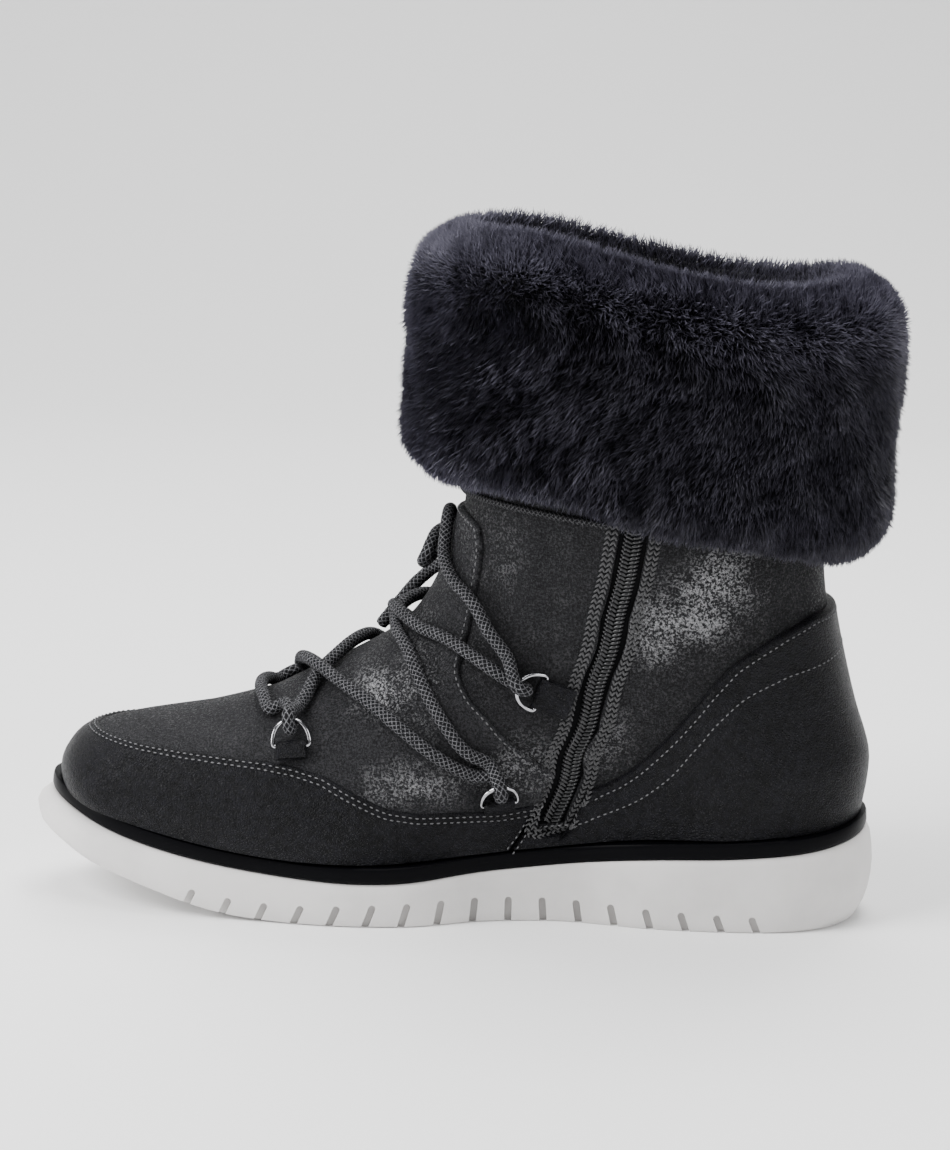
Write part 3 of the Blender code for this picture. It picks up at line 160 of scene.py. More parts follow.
WIDEST = 2.0

# Edges on the upper: share of the sole's length from the toe, height as a share of INSTEP_HEIGHT
MUDGUARD_TOP = table(
    Line, (0.0, 0.583), (0.076, 0.583), (0.1, 0.577), (0.132, 0.571), (0.278, 0.568), (0.312, 0.558),
    (0.347, 0.536), (0.385, 0.48), (0.42, 0.432), (0.455, 0.415), (0.55, 0.42), (0.594, 0.443))
JOIN_FOOT = 0.563
COUNTER_TOP = table(
    Line, (0.594, 0.443), (0.657, 0.493), (0.6875, 0.544), (0.708, 0.593), (0.734, 0.676),
    (0.76, 0.768), (0.786, 0.878), (0.8125, 0.976), (0.84, 1.035), (0.867, 1.085), (0.903, 1.14),
    (1.0, 1.17))
COUNTER_ROW = table(
    Line, (0.605, 0.36), (0.646, 0.372), (0.66, 0.392), (0.701, 0.453), (0.728, 0.511), (0.754, 0.587),
    (0.777, 0.682), (0.8, 0.774), (0.826, 0.854), (0.86, 0.911), (0.896, 0.951), (0.95, 0.99),
    (1.0, 1.0))
ZIP_NOTCH = table(
    Line, (0.594, 0.443), (0.599, 0.325), (0.630, 0.325), (0.646, 0.42), (0.653, 0.488))
VAMP_FOOT = table(
    Line, (0.611, 0.56), (0.5955, 0.452))
VAMP_EDGE = table(
    Line, (0.611, 0.56), (0.567, 0.662), (0.537, 0.752), (0.511, 0.831), (0.5, 0.91), (0.503, 0.96),
    (0.508, 1.03), (0.515, 1.155), (0.518, 1.212), (0.522, 1.335), (0.519, 1.39))
VAMP_TOP = 1.445
VAMP_FOOT_SHARE = 1 / 24
ZIP_LINE = table(
    Line, (0.611, 0.36), (0.6315, 0.55), (0.646, 0.724), (0.66, 0.934), (0.6745, 1.132), (0.686, 1.31),
    (0.691, 1.427), (0.697, 1.7), (0.7, 2.05))
SEAM_LINE = table(
    Line, (0.5, 1.513), (0.523, 1.511), (0.55, 1.507), (0.58, 1.5), (0.628, 1.487), (0.663, 1.475))
RING_ROWS = (
    ("lower", 0.31, 0.607, math.radians(92), TAB_BASE, 0.0042),
    ("middle", 0.547, 0.461, math.radians(96), TAB_BASE, 0.0034),
    ("upper", 0.594, 0.858, math.radians(160), 0.0, 0.0110),
)
RingSpot = namedtuple("RingSpot", "name side run rise angle base length")
RING_SPOTS = [RingSpot(row[0] + end, side, *row[1:])
              for side, end in ((-1, "_medial"), (1, "_lateral")) for row in RING_ROWS]

# The lace's route in millimetres: two of x, y and z, with x from the sole's middle, and a lift
Pass = namedtuple("Pass", "side x y z lift")
LACES = {
    "lace_bar": table(
        Pass, (-1, -57.9, None, 67.0, 0.8), (-1, -61.5, -20, None, 0), (-1, -65, -12, None, 0),
        (-1, -66.5, 0, None, 0), (1, -65, 12, None, 0), (1, -61.5, 20, None, 0),
        (1, -57.9, None, 67.0, 0.8)),
    "lace_lower_crossing": table(
        Pass, (-1, -52.0, None, 67.5, 0.8), (-1, -50.2, -20, None, 0), (-1, -46.5, -12, None, 0),
        (-1, -40, -4, None, 0), (1, -34.5, 4, None, 0), (1, -30, 13, None, 0), (1, -26, 22, None, 0),
        (1, -19.5, None, 68.5, 0), (1, -8, None, 60.5, 0), (1, 4.6, None, 54.0, 0)),
    "lace_lower_over": table(
        Pass, (1, -51.8, None, 67.5, 0.8), (1, -52.2, 18, None, 0), (1, -52.5, 9, None, 1.2),
        (-1, -50.5, 0, None, 2.6), (-1, -46.5, -8.5, None, 3.2), (-1, -38, -20, None, 0.6),
        (-1, -28.5, -28.5, None, 0), (-1, -19.5, None, 67, 0), (-1, -8, None, 60.5, 0),
        (-1, 4.6, None, 54.0, 0)),
    "lace_upper_crossing": table(
        Pass, (-1, 9.5, None, 58.5, 0), (-1, 3, None, 62, 0), (-1, -4, None, 69, 0),
        (-1, -10.5, None, 79, 0), (-1, -16, -20, None, 0), (-1, -19, -10, None, 0.5),
        (1, -17.5, 0.5, None, 1.5), (1, None, 12, 100, 1.0), (1, None, 22, 98, 0.5),
        (1, 6, None, 91.5, 0), (1, 13.0, None, 87.5, 0)),
    "lace_upper_over": table(
        Pass, (1, 9.5, None, 58.5, 0), (1, 3, None, 62, 0), (1, -4, None, 69, 0),
        (1, -10.5, None, 79, 0), (1, -16.5, 18, None, 0), (1, -18.5, 8, None, 1.5),
        (-1, -17.5, 0, None, 3.6), (-1, -15, -9, None, 2.6), (-1, -10.8, -16.8, None, 0.6),
        (-1, -3, None, 95, 0), (-1, 5, None, 91.5, 0), (-1, 13.0, None, 87.5, 0)),
    "lace_top_medial": table(
        Pass, (-1, 16.5, None, 93.0, 0), (-1, 11.5, None, 100, 0), (-1, 6, None, 109, 0),
        (-1, None, -17, 115, 0), (-1, None, -9, 121.5, 0), (-1, None, -5, 128, 0),
        (-1, None, -1, 132.5, 0), (1, None, 5, 134, 0), (1, None, 10.5, 131.5, 0.6)),
    "lace_top_lateral": table(
        Pass, (1, 16.5, None, 93.0, 0), (1, 13, None, 101, -0.6), (1, 10.5, None, 109, -0.9),
        (1, None, 28, 117, -0.6), (1, None, 23.4, 122.3, 0.8)),
}
LACE_RINGS = {  # the rings that each pass starts and ends in, and whether it goes over the wire
    "lace_bar": (("lower_medial", False), ("lower_lateral", False)),
    "lace_lower_crossing": (("lower_medial", True), ("middle_lateral", False)),
    "lace_lower_over": (("lower_lateral", True), ("middle_medial", False)),
    "lace_upper_crossing": (("middle_medial", True), ("upper_lateral", False)),
    "lace_upper_over": (("middle_lateral", True), ("upper_medial", False)),
    "lace_top_medial": (("upper_medial", True), None),
    "lace_top_lateral": (("upper_lateral", True), None),
}
BOW = {name: [Pass(1, None, *row) for row in rows] for name, rows in {
    "lace_loop_front": (
        (12.6, 125.5, 2.4), (6, 124, 3.0), (2.5, 121, 3.2), (1.5, 117, 3.4), (3, 113.8, 3.6),
        (7, 113.4, 3.4), (10.5, 116, 3.0), (12.6, 119, 3.0)),
    "lace_loop_side": (
        (20.1, 130.3, 1.6), (27, 133.5, 0.5), (34, 130, 0.5), (36, 123.5, 1.5), (33.5, 120.5, 4.5),
        (29, 122.5, 5.5), (23.2, 126.3, 4.4)),
    "lace_end_front": (
        (15.9, 119.6, 2.2), (16.6, 112, 2.0), (17, 106, 6.0), (16, 99, 7.2), (15, 92, 5.0),
        (15, 86, 1.0)),
    "lace_end_side": (
        (20.5, 120.6, 2.4), (22.6, 112, 2.0), (24, 105, 2.5), (26.5, 97, 5.6), (29.5, 90, 5.5),
        (32.5, 83, 1.5)),
}.items()}
KNOT = Pass(1, None, 17, 126, 2.2)

# The fur cuff's hem and top round the shaft, and its section
CUFF_HEM = table(
    Line, (0.0, 1.055), (0.1, 1.062), (0.2, 1.056), (0.3, 1.042), (0.38, 1.024), (0.5, 0.98),
    (0.65, 0.942), (0.8, 0.92), (0.92, 0.89), (1.0, 0.865))
CUFF_TOP = table(
    Line, (0.0, 0.992), (0.13, 0.998), (0.34, 0.98), (0.45, 0.966), (0.56, 0.955), (0.68, 0.944),
    (0.9, 0.94), (1.0, 0.948))
Section = namedtuple("Section", "rise depth")
CUFF_SECTION = table(
    Section, (0.045, 0.02), (0.03, 0.24), (0.036, 0.48), (0.07, 0.74), (0.12, 0.90), (0.18, 0.97),
    (0.26, 0.99), (0.36, 0.97), (0.44, 0.97), (0.52, 0.98), (0.6, 0.97), (0.68, 0.95), (0.76, 0.92),
    (0.83, 0.86), (0.885, 0.74), (0.925, 0.55), (0.945, 0.34), (0.945, 0.12))

# Creases in the skin, in millimetres: where each one's middle lies, which way it runs, how long
# and wide it is, and how far it stands in or out
Crease = namedtuple("Crease", "side x z slope length width depth")
CREASES = table(
    Crease, (-1, -62, 63, 100, 15, 5.0, -0.5), (-1, -50, 66, 95, 16, 5.0, 0.5),
    (-1, -40, 68, 100, 14, 4.0, -0.5), (-1, -22, 62, 150, 18, 6.0, 0.8),
    (-1, -8, 78, 120, 16, 5.0, 0.7), (-1, 12, 96, 60, 18, 6.0, 0.7), (-1, 20, 118, 80, 20, 6.0, 0.8),
    (-1, 28, 128, 100, 14, 4.0, -0.7), (-1, 62, 120, 20, 24, 5.0, -0.9),
    (-1, 80, 126, 160, 20, 6.0, 0.9), (-1, 72, 102, 30, 22, 6.0, 0.8), (-1, 60, 78, 50, 20, 6.0, 0.6),
    (1, -62, 63, 95, 15, 5.0, -0.5), (1, -50, 66, 100, 16, 5.0, 0.5), (1, -22, 64, 30, 18, 6.0, 0.7),
    (1, 10, 96, 120, 18, 6.0, 0.7), (1, 40, 112, 20, 26, 6.0, -0.9), (1, 62, 120, 165, 22, 6.0, 0.9),
    (1, 50, 88, 30, 22, 7.0, 0.7), (1, 84, 124, 20, 20, 5.0, -0.6))


def smooth(knots, values, at):
    """A smooth curve through the values at the knots; values may have a row for each place."""
    knots = np.asarray(knots, float)
    values = np.asarray(values, float)
    at = np.clip(np.asarray(at, float), knots[0], knots[-1])
    steps = np.diff(knots)
    slopes = np.diff(values, axis=-1) / steps
    inner = (slopes[..., :-1] * steps[1:] + slopes[..., 1:] * steps[:-1]) / (steps[1:] + steps[:-1])
    tangents = np.concatenate([slopes[..., :1], inner, slopes[..., -1:]], axis=-1)
    span = np.clip(np.searchsorted(knots, at, side="right") - 1, 0, len(steps) - 1)
    width = steps[span]
    t = (at - knots[span]) / width

    def read(table, place):
        return table[place] if table.ndim == 1 else np.take_along_axis(table, place[:, None], 1)[:, 0]

    first = read(values, span) * (1 + 2 * t) * (1 - t) ** 2 + read(tangents, span) * width * t * (1 - t) ** 2
    last = read(values, span + 1) * t * t * (3 - 2 * t) - read(tangents, span + 1) * width * t * t * (1 - t)
    return first + last


def through(rows, count):
    """Smooth columns of a count of values through the rows of a table."""
    at = np.linspace(0, len(rows) - 1, count)
    return [smooth(range(len(rows)), column, at) for column in np.asarray(rows, float).T]


def read_line(line, at):
    """A line's rise at a run."""
    return smooth([row.run for row in line], [row.rise for row in line], at)


def run_of(x):
    """A place's share of the sole's length from the toe."""
    return (x - TOE_X) / SOLE_LENGTH


def turn_of(run):
    """The angle round a ring at a share of its length."""
    return np.arccos(1 - 2 * np.clip(run, 0.0, 1.0))


def outsole_top(x):
    """Height of the outsole's top edge."""
    return OUTSOLE_HEEL * read_line(OUTSOLE_TOP, run_of(x))


def tread(x):
    """Height of the tread's underside."""
    return TOE_SPRING * np.maximum(0.0, read_line(TREAD, run_of(x)))


def feather(x):
    """Height of the upper's lower edge."""
    return outsole_top(x) + WELT_THICKNESS + 2 * GAP


def climb(share, low, first, second):
    """A height that goes up by its first rise to share 1 and by its second rise to share 2."""
    return low + min(share, 1.0) * first + max(share - 1.0, 0.0) * second


def ring_row(ring):
    """A ring's own sizes in metres."""
    width = FEATHER_WIDTH + (SHAFT_WIDTH - FEATHER_WIDTH) * ring.shaft
    return [FEATHER_TOE + ring.front_run * INSTEP_RUN,
            climb(ring.front_rise, float(feather(FEATHER_TOE)), INSTEP_RISE, SHAFT_RISE),
            FEATHER_HEEL - ring.lean * HEEL_LEAN,
            climb(ring.back_rise, float(feather(FEATHER_HEEL)), COUNTER_RISE, BACK_RISE),
            ring.follow, *[share * width for share in (*ring.medial, *ring.lateral)]]


RING_SIZES = np.array([ring_row(ring) for ring in RINGS])
INSTEP_HEIGHT = float(feather(FEATHER_TOE)) + INSTEP_RISE


def wrap(turns):
    """Turns brought back between -pi and pi."""
    return (turns + math.pi) % (2 * math.pi) - math.pi


def ring_sizes(levels):
    """The sizes of the rings at the levels, a row for each."""
    return np.stack([smooth(range(len(RINGS)), column, levels) for column in RING_SIZES.T], axis=-1)


def skin_points(turns, levels):
    """Points of the upper's skin, at arrays of turns and levels."""
    rows = ring_sizes(levels)
    front_x, front_z, back_x, back_z, follow = rows[:, :5].T
    split = 5 + len(STATIONS)
    widths = np.where((turns < 0)[:, None], rows[:, 5:split], rows[:, split:])
    run = (1 - np.cos(turns)) / 2
    x = front_x + run * (back_x - front_x)
    line = feather(front_x) + run * (feather(back_x) - feather(front_x))
    z = front_z + run * (back_z - front_z) + follow * (feather(x) - line)
    knots = [0.0, *turn_of(np.array(STATIONS)), math.pi]
    y = smooth(knots, np.pad(widths, ((0, 0), (1, 1))), np.abs(turns))
    return np.stack([x, np.where(turns < 0, -y, y), z], axis=-1)


def unit(vectors):
    """Vectors brought to length one."""
    return vectors / np.maximum(np.linalg.norm(vectors, axis=-1, keepdims=True), 1e-12)


def normals(turns, levels):
    """Directions out of the upper's skin."""
    step = 0.03
    above, below = np.minimum(levels + step, COLLAR), np.maximum(levels - step, 0)
    up = skin_points(turns, above) - skin_points(turns, below)
    around = skin_points(wrap(turns + step), levels) - skin_points(wrap(turns - step), levels)
    return unit(np.cross(up, around))


def relief(points):
    """How far the creases move the skin in or out at points of it."""
    moved = np.zeros(len(points))
    for crease in CREASES:
        slope = math.radians(crease.slope)
        x = points[:, 0] - SOLE_MIDDLE - crease.x * MM
        z = points[:, 2] - crease.z * MM
        along = (x * math.cos(slope) + z * math.sin(slope)) / (crease.length * MM)
        across = (z * math.cos(slope) - x * math.sin(slope)) / (crease.width * MM)
        near = 1 / (1 + np.exp(-crease.side * (points[:, 1]) / (6 * MM)))
        moved += crease.depth * MM * near * np.exp(-along ** 2 - across ** 2)
    return moved


def skin(turns, levels, out=0.0):
    """Points at distances out of the creased skin."""
    turns, levels = np.atleast_1d(turns).astype(float), np.atleast_1d(levels).astype(float)
    turns = wrap(turns)
    points = skin_points(turns, levels)
    return points + normals(turns, levels) * (relief(points) + out)[:, None]


def halve(low, high, is_low):
    """The places between two limits where is_low stops being true."""
    for _ in range(17):
        middle = (low + high) / 2
        inside = is_low(middle)
        low, high = np.where(inside, middle, low), np.where(inside, high, middle)
    return low


def turn_at(levels, x, side):
    """Turns of the rings' points at a place along the foot."""
    rows = ring_sizes(levels)
    return side * turn_of((x - rows[:, 0]) / (rows[:, 2] - rows[:, 0]))


def place(side, x=None, y=None, z=None):
    """Turn and level of the skin's point that has two given coordinates, on one side."""
    low = np.zeros(1)
    if y is None:
        level = halve(low, low + COLLAR, lambda at: skin_points(turn_at(at, x, side), at)[:, 2] < z)
        return float(turn_at(level, x, side)[0]), float(level[0])
    if z is None:
        level = halve(low + WIDEST, low + COLLAR, lambda at: (x > ring_sizes(at)[:, 0])
                      & (np.abs(skin_points(turn_at(at, x, side), at)[:, 1]) > abs(y)))
        return float(turn_at(level, x, side)[0]), float(level[0])
    turn = halve(low, low + math.pi / 2,
                 lambda at: np.abs(skin_points(side * at, level_at(side * at, z))[:, 1]) < abs(y))
    return side * float(turn[0]), float(level_at(side * turn, z)[0])


def level_at(turns, z):
    """The levels at which the skin reaches a height."""
    low = np.zeros(len(turns))
    return halve(low, low + COLLAR, lambda at: skin_points(turns, at)[:, 2] < z)


def line_spots(line, side):
    """Turn and level of each row of a line."""
    return np.array([place(side, x=TOE_X + row.run * SOLE_LENGTH, z=row.rise * INSTEP_HEIGHT)
                     for row in line])


def edge_levels(line, turns, raised=0.0):
    """The levels at which a line that is read by its place along the foot crosses the turns."""
    runs, rises = [row.run for row in line], [row.rise for row in line]

    def below(levels):
        points = skin_points(turns, levels)
        rise = np.interp(run_of(points[:, 0]), runs, rises)
        return points[:, 2] < INSTEP_HEIGHT * rise + raised

    low = np.zeros(len(turns))
    return halve(low, low + COLLAR, below)


def lengths_of(points):
    """Distance along a row of points to each of them."""
    return np.concatenate([[0.0], np.cumsum(np.linalg.norm(np.diff(points, axis=0), axis=1))])


def resample(points, spacing):
    """Points a set distance apart along a smooth curve through the given ones."""
    lengths = lengths_of(points)
    count = max(2, int(round(lengths[-1] / spacing)) + 1)
    at = np.linspace(0, lengths[-1], count)
    return np.stack([smooth(lengths, column, at) for column in points.T], axis=-1)


class Wire:
    """A socket of a node tree. Sums and products of wires add Math nodes to the tree."""

    def __init__(self, nodes, socket):
        self.nodes = nodes
        self.socket = socket

    def __add__(self, other):
        return self.nodes.math("ADD", self, other)

    def __sub__(self, other):
        return self.nodes.math("SUBTRACT", self, other)

    def __rsub__(self, other):
        return self.nodes.math("SUBTRACT", other, self)

    def __mul__(self, other):
        return self.nodes.math("MULTIPLY", self, other)

    def __truediv__(self, other):
        return self.nodes.math("DIVIDE", self, other)

    def __pow__(self, other):
        return self.nodes.math("POWER", self, other)

    __radd__ = __add__
    __rmul__ = __mul__

    def __rtruediv__(self, other):
        return self.nodes.math("DIVIDE", other, self)


class Nodes:
    """Adds nodes to one tree, each from its type, its settings and its sockets' values or links."""

    def __init__(self, tree):
        self.tree = tree

    def add(self, kind, settings=None, inputs=None, output=0):
        node = self.tree.nodes.new(kind)
        for name, value in (settings or {}).items():
            setattr(node, name, value)
        for key, value in (inputs or {}).items():
            if isinstance(value, Wire):
                self.tree.links.new(value.socket, node.inputs[key])
            else:
                node.inputs[key].default_value = value
        return Wire(self, node.outputs[output])

    def math(self, operation, *values):
        return self.add("ShaderNodeMath", {"operation": operation}, dict(enumerate(values)))

    def step(self, value, low, high):
        """0 below the low value and 1 above the high one, smoothly between."""
        return self.add("ShaderNodeMapRange", {"interpolation_type": "SMOOTHSTEP"},
                        {0: value, 1: low, 2: high})

    def blend(self, share, first, second):
        """A colour between two colours."""
        return self.add("ShaderNodeMix", {"data_type": "RGBA"}, {0: share, 6: first, 7: second}, 2)

    def noise(self, where, scale, detail=2.0, roughness=0.5):
        return self.add("ShaderNodeTexNoise", None,
                        {"Vector": where, "Scale": scale, "Detail": detail, "Roughness": roughness})

    def cells(self, where, scale, feature="F1", output=0):
        return self.add("ShaderNodeTexVoronoi", {"feature": feature},
                        {"Vector": where, "Scale": scale}, output)

    def bump(self, height, distance, strength=1.0):
        return self.add("ShaderNodeBump", None,
                        {"Height": height, "Distance": distance, "Strength": strength})


class Finish(Nodes):
    """A material's nodes round its Principled BSDF."""

    def __init__(self, name):
        self.material = bpy.data.materials.new(name)
        self.material.use_nodes = True
        super().__init__(self.material.node_tree)
        self.shader = self.tree.nodes["Principled BSDF"]
        self.place = self.add("ShaderNodeTexCoord", output="Object")

    def set(self, **values):
        """Fixed values or links for the shader's sockets, spaces written as underscores."""
        for name, value in values.items():
            socket = self.shader.inputs[name.replace("_", " ")]
            if isinstance(value, Wire):
                self.tree.links.new(value.socket, socket)
            else:
                socket.default_value = value
        return self.material


def colour(rgb, share=1.0):
    """A colour with its alpha, scaled by a share."""
    return (*[channel * share for channel in rgb], 1.0)


def suede_finish(name, base, shine):
    """Crackled suede under a partly rubbed-off metallic film that glitters in patches; the film's colour is
    much lighter in those patches as painted highlight.
    """
    finish = Finish(name)
    nap = finish.noise(finish.place, 1500, 3, 0.65)
    grain = finish.noise(finish.place, 1150, 3, 0.75)
    cracks = finish.cells(finish.place, 1300, "DISTANCE_TO_EDGE")
    cloud = finish.noise(finish.place, 95, 3, 0.6)
    kept_film_and_highlight = finish.add("ShaderNodeAttribute", {"attribute_name": "foil"}, output="Fac")
    open_crack = 1 - finish.step(cracks, 0.0, 0.14)
    # Painted highlight: where the listed spots and the cloud add up, the film is thicker and its colour much
    # lighter.
    film_and_highlight_patch = finish.step(kept_film_and_highlight + cloud * 1.1, 0.62, 1.9)
    film = finish.step(grain + cloud * 0.12 + film_and_highlight_patch * shine, 0.56, 0.68) * (1 - open_crack * 0.5)
    dull = finish.blend(finish.step(nap, 0.35, 0.65), colour(base, 0.3), colour(base, 1.5))
    dull = finish.blend(open_crack * 0.6, dull, colour(base, 0.2))
    # The film's colour: dark, and much lighter where the painted highlight lies.
    film_and_highlight_colour = finish.blend(film_and_highlight_patch, colour((0.034, 0.034, 0.036)), colour((0.27, 0.27, 0.28)))
    tone = finish.blend(film, dull, film_and_highlight_colour)
    height = nap * 0.5 + grain * 0.7 - open_crack * 0.4
    return finish.set(Base_Color=tone, Metallic=film * 0.8, Roughness=0.75 - film * 0.40,
                      Normal=finish.bump(height, 0.00045, 0.9), Specular_IOR_Level=0.12)


def leather_finish(name, base):
    """Smooth dark leather with a fine grain and a soft sheen, its colour darker in the wrinkles' hollows and
    along the grain's lines as painted shade.
    """
    finish = Finish(name)
    grain = finish.cells(finish.place, 1050, "DISTANCE_TO_EDGE")
    pores = finish.noise(finish.place, 1700, 2, 0.5)
    cloud = finish.noise(finish.place, 60, 3, 0.5)
    wrinkle = finish.noise(finish.place, 420, 4, 0.7)
    # Painted shade: lighter on the wrinkles' ridges and darker in their hollows, then darker again along the
    # grain's lines.
    tone = finish.blend(finish.step(wrinkle + cloud * 0.3, 0.5, 0.8), colour(base, 0.45), colour(base, 2.1))
    tone = finish.blend(1 - finish.step(grain, 0.0, 0.1), tone, colour(base, 0.4))
    height = finish.step(grain, 0.0, 0.3) * 0.5 + pores * 0.3 + wrinkle * 0.8
    return finish.set(Base_Color=tone, Roughness=0.32 + wrinkle * 0.2,
                      Normal=finish.bump(height, 0.0006, 0.9), Specular_IOR_Level=0.12)


def rubber_finish(name, base, roughness, blotching, shine):
    """Moulded rubber with a fine skin, its colour a little darker in random cloudy blotches."""
    finish = Finish(name)
    skin_grain = finish.noise(finish.place, 1600, 3, 0.6)
    cloud = finish.noise(finish.place, 35, 4, 0.6)
    # Darker in random cloudy blotches, by the share given as the fourth argument; they do not follow the
    # hollows.
    tone = finish.blend(finish.step(cloud, 0.35, 0.75) * blotching, colour(base), colour(base, 0.82))
    return finish.set(Base_Color=tone, Roughness=roughness + skin_grain * 0.12,
                      Normal=finish.bump(skin_grain, 0.00012, 0.35), Specular_IOR_Level=shine)


def cord_finish(name, dark, fleck, carriers, pitch):
    """Braided cord: a dark yarn in a net of lighter flecks, read from the cord's own UV map."""
    finish = Finish(name)
    where = finish.add("ShaderNodeUVMap")
    u = finish.add("ShaderNodeSeparateXYZ", None, {0: where}, 0)
    v = finish.add("ShaderNodeSeparateXYZ", None, {0: where}, 1)
    one = finish.math("PINGPONG", u * carriers + v / pitch, 0.5)
    other = finish.math("PINGPONG", u * carriers - v / pitch, 0.5)
    net = 1 - finish.step(finish.math("MINIMUM", one, other), 0.05, 0.17)
    fibre = finish.noise(finish.place, 3200, 2, 0.6)
    tone = finish.blend(net * finish.step(fibre, 0.38, 0.58), colour(dark), colour(fleck))
    height = net * 0.6 + fibre * 0.5
    return finish.set(Base_Color=tone, Roughness=0.78, Normal=finish.bump(height, 0.0003, 0.7),
                      Specular_IOR_Level=0.15)


def steel_finish(name):
    """Polished steel wire with faint draw lines."""
    finish = Finish(name)
    draw = finish.noise(finish.place, 700, 4, 0.7)
    tone = finish.blend(finish.step(draw, 0.4, 0.8), colour((0.40, 0.40, 0.42)), colour((0.24, 0.24, 0.25)))
    return finish.set(Base_Color=tone, Metallic=1.0, Roughness=0.06 + draw * 0.08,
                      Normal=finish.bump(draw, 0.00001, 0.2))


def thread_finish(name, base):
    """Twisted sewing thread."""
    finish = Finish(name)
    twist = finish.noise(finish.place, 3000, 2, 0.6)
    tone = finish.blend(twist, colour(base, 0.5), colour(base, 1.4))
    return finish.set(Base_Color=tone, Roughness=0.55, Normal=finish.bump(twist, 0.0002, 0.6),
                      Sheen_Weight=0.2)


def nylon_finish(name, base, shine):
    """Moulded nylon of the zip's coil, or its woven tape."""
    finish = Finish(name)
    weave = finish.noise(finish.place, 2400, 2, 0.5)
    tone = finish.blend(weave, colour(base, 0.6), colour(base, 1.3))
    return finish.set(Base_Color=tone, Roughness=shine + weave * 0.2, Normal=finish.bump(weave, 0.0001, 0.4),
                      Specular_IOR_Level=0.55 - shine * 0.5)


def pile_finish(name, root, tip):
    """Fur fibres, dark at the root, partly as painted shade deep in the pile, and lighter at the tip, each
    with a tone of its own, and lighter still where the rim attribute paints light.
    """
    finish = Finish(name)
    along = finish.add("ShaderNodeAttribute", {"attribute_name": "along"}, output="Fac")
    own = finish.add("ShaderNodeAttribute", {"attribute_name": "own_tone"}, output="Fac")
    rim = finish.add("ShaderNodeAttribute", {"attribute_name": "rim"}, output="Fac")
    cloud = finish.noise(finish.place, 70, 2, 0.5)
    # Painted shade and light: near black toward the root for the shade deep in the pile, and lighter by the
    # rim attribute where light falls on the cuff's top and toe side.
    light = along ** 2.5 * (0.25 + own) * (0.22 + rim * 2.0 + cloud * 0.75)
    tone = finish.blend(light, colour(root), colour(tip))
    return finish.set(Base_Color=tone, Roughness=0.62 - along * 0.12, Specular_IOR_Level=0.35)


def fleece_finish(name, base):
    """Short curled fleece of the lining and footbed."""
    finish = Finish(name)
    curl = finish.cells(finish.place, 700)
    fine = finish.noise(finish.place, 1800, 3, 0.7)
    tone = finish.blend(curl * 0.8 + fine * 0.4, colour(base, 0.35), colour(base, 1.5))
    return finish.set(Base_Color=tone, Roughness=0.95, Sheen_Weight=0.3,
                      Normal=finish.bump(fine - curl * 0.6, 0.0012, 0.9))


def make_object(name, mesh):
    """An object of the scene from a mesh."""
    piece = bpy.data.objects.new(name, mesh)
    bpy.context.scene.collection.objects.link(piece)
    return piece


def solid(name, points, faces, finishes, sharp=40, outwards=True):
    """A piece from points and faces, shaded smooth up to its sharp edges."""
    mesh = bpy.data.meshes.new(name)
    mesh.from_pydata(np.asarray(points).tolist(), [], [tuple(face) for face in np.asarray(faces).tolist()]
                     if isinstance(faces, np.ndarray) else [tuple(face) for face in faces])
    for finish in finishes:
        mesh.materials.append(finish)
    if outwards:
        build = bmesh.new()
        build.from_mesh(mesh)
        bmesh.ops.recalc_face_normals(build, faces=build.faces)
        build.to_mesh(mesh)
        build.free()
    mesh.shade_smooth()
    mesh.set_sharp_from_angle(angle=math.radians(sharp))
    return make_object(name, mesh)


def declare(piece, slot, *nodes):
    """Puts a finished piece on the boot's body and hides the solids it stands for; slot is not used."""
    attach(piece, "root")
    if nodes:
        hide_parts(*nodes)
    return piece


def grid_quads(rows, columns, wrap_columns=False, wrap_rows=False):
    """Quads of a grid of points, closed round where it wraps."""
    index = np.arange(rows * columns).reshape(rows, columns)
    if wrap_columns:
        index = np.concatenate([index, index[:, :1]], axis=1)
    if wrap_rows:
        index = np.concatenate([index, index[:1]], axis=0)
    corners = [index[:-1, :-1], index[:-1, 1:], index[1:, 1:], index[1:, :-1]]
    return np.stack(corners, axis=-1).reshape(-1, 4)


def closed_sheet(name, face, back, finishes, sharp=50):
    """A closed sheet from the grids of its face and its back."""
    rows, columns = face.shape[:2]
    count = rows * columns
    index = np.arange(count).reshape(rows, columns)
    rim = np.concatenate([index[0], index[1:, -1], index[-1, -2::-1], index[-2:0:-1, 0]])
    after = np.roll(rim, -1)
    faces = np.concatenate([grid_quads(rows, columns), grid_quads(rows, columns)[:, ::-1] + count,
                            np.stack([rim, rim + count, after + count, after], axis=-1)])
    points = np.concatenate([face.reshape(-1, 3), back.reshape(-1, 3)])
    return solid(name, points, faces, finishes, sharp)


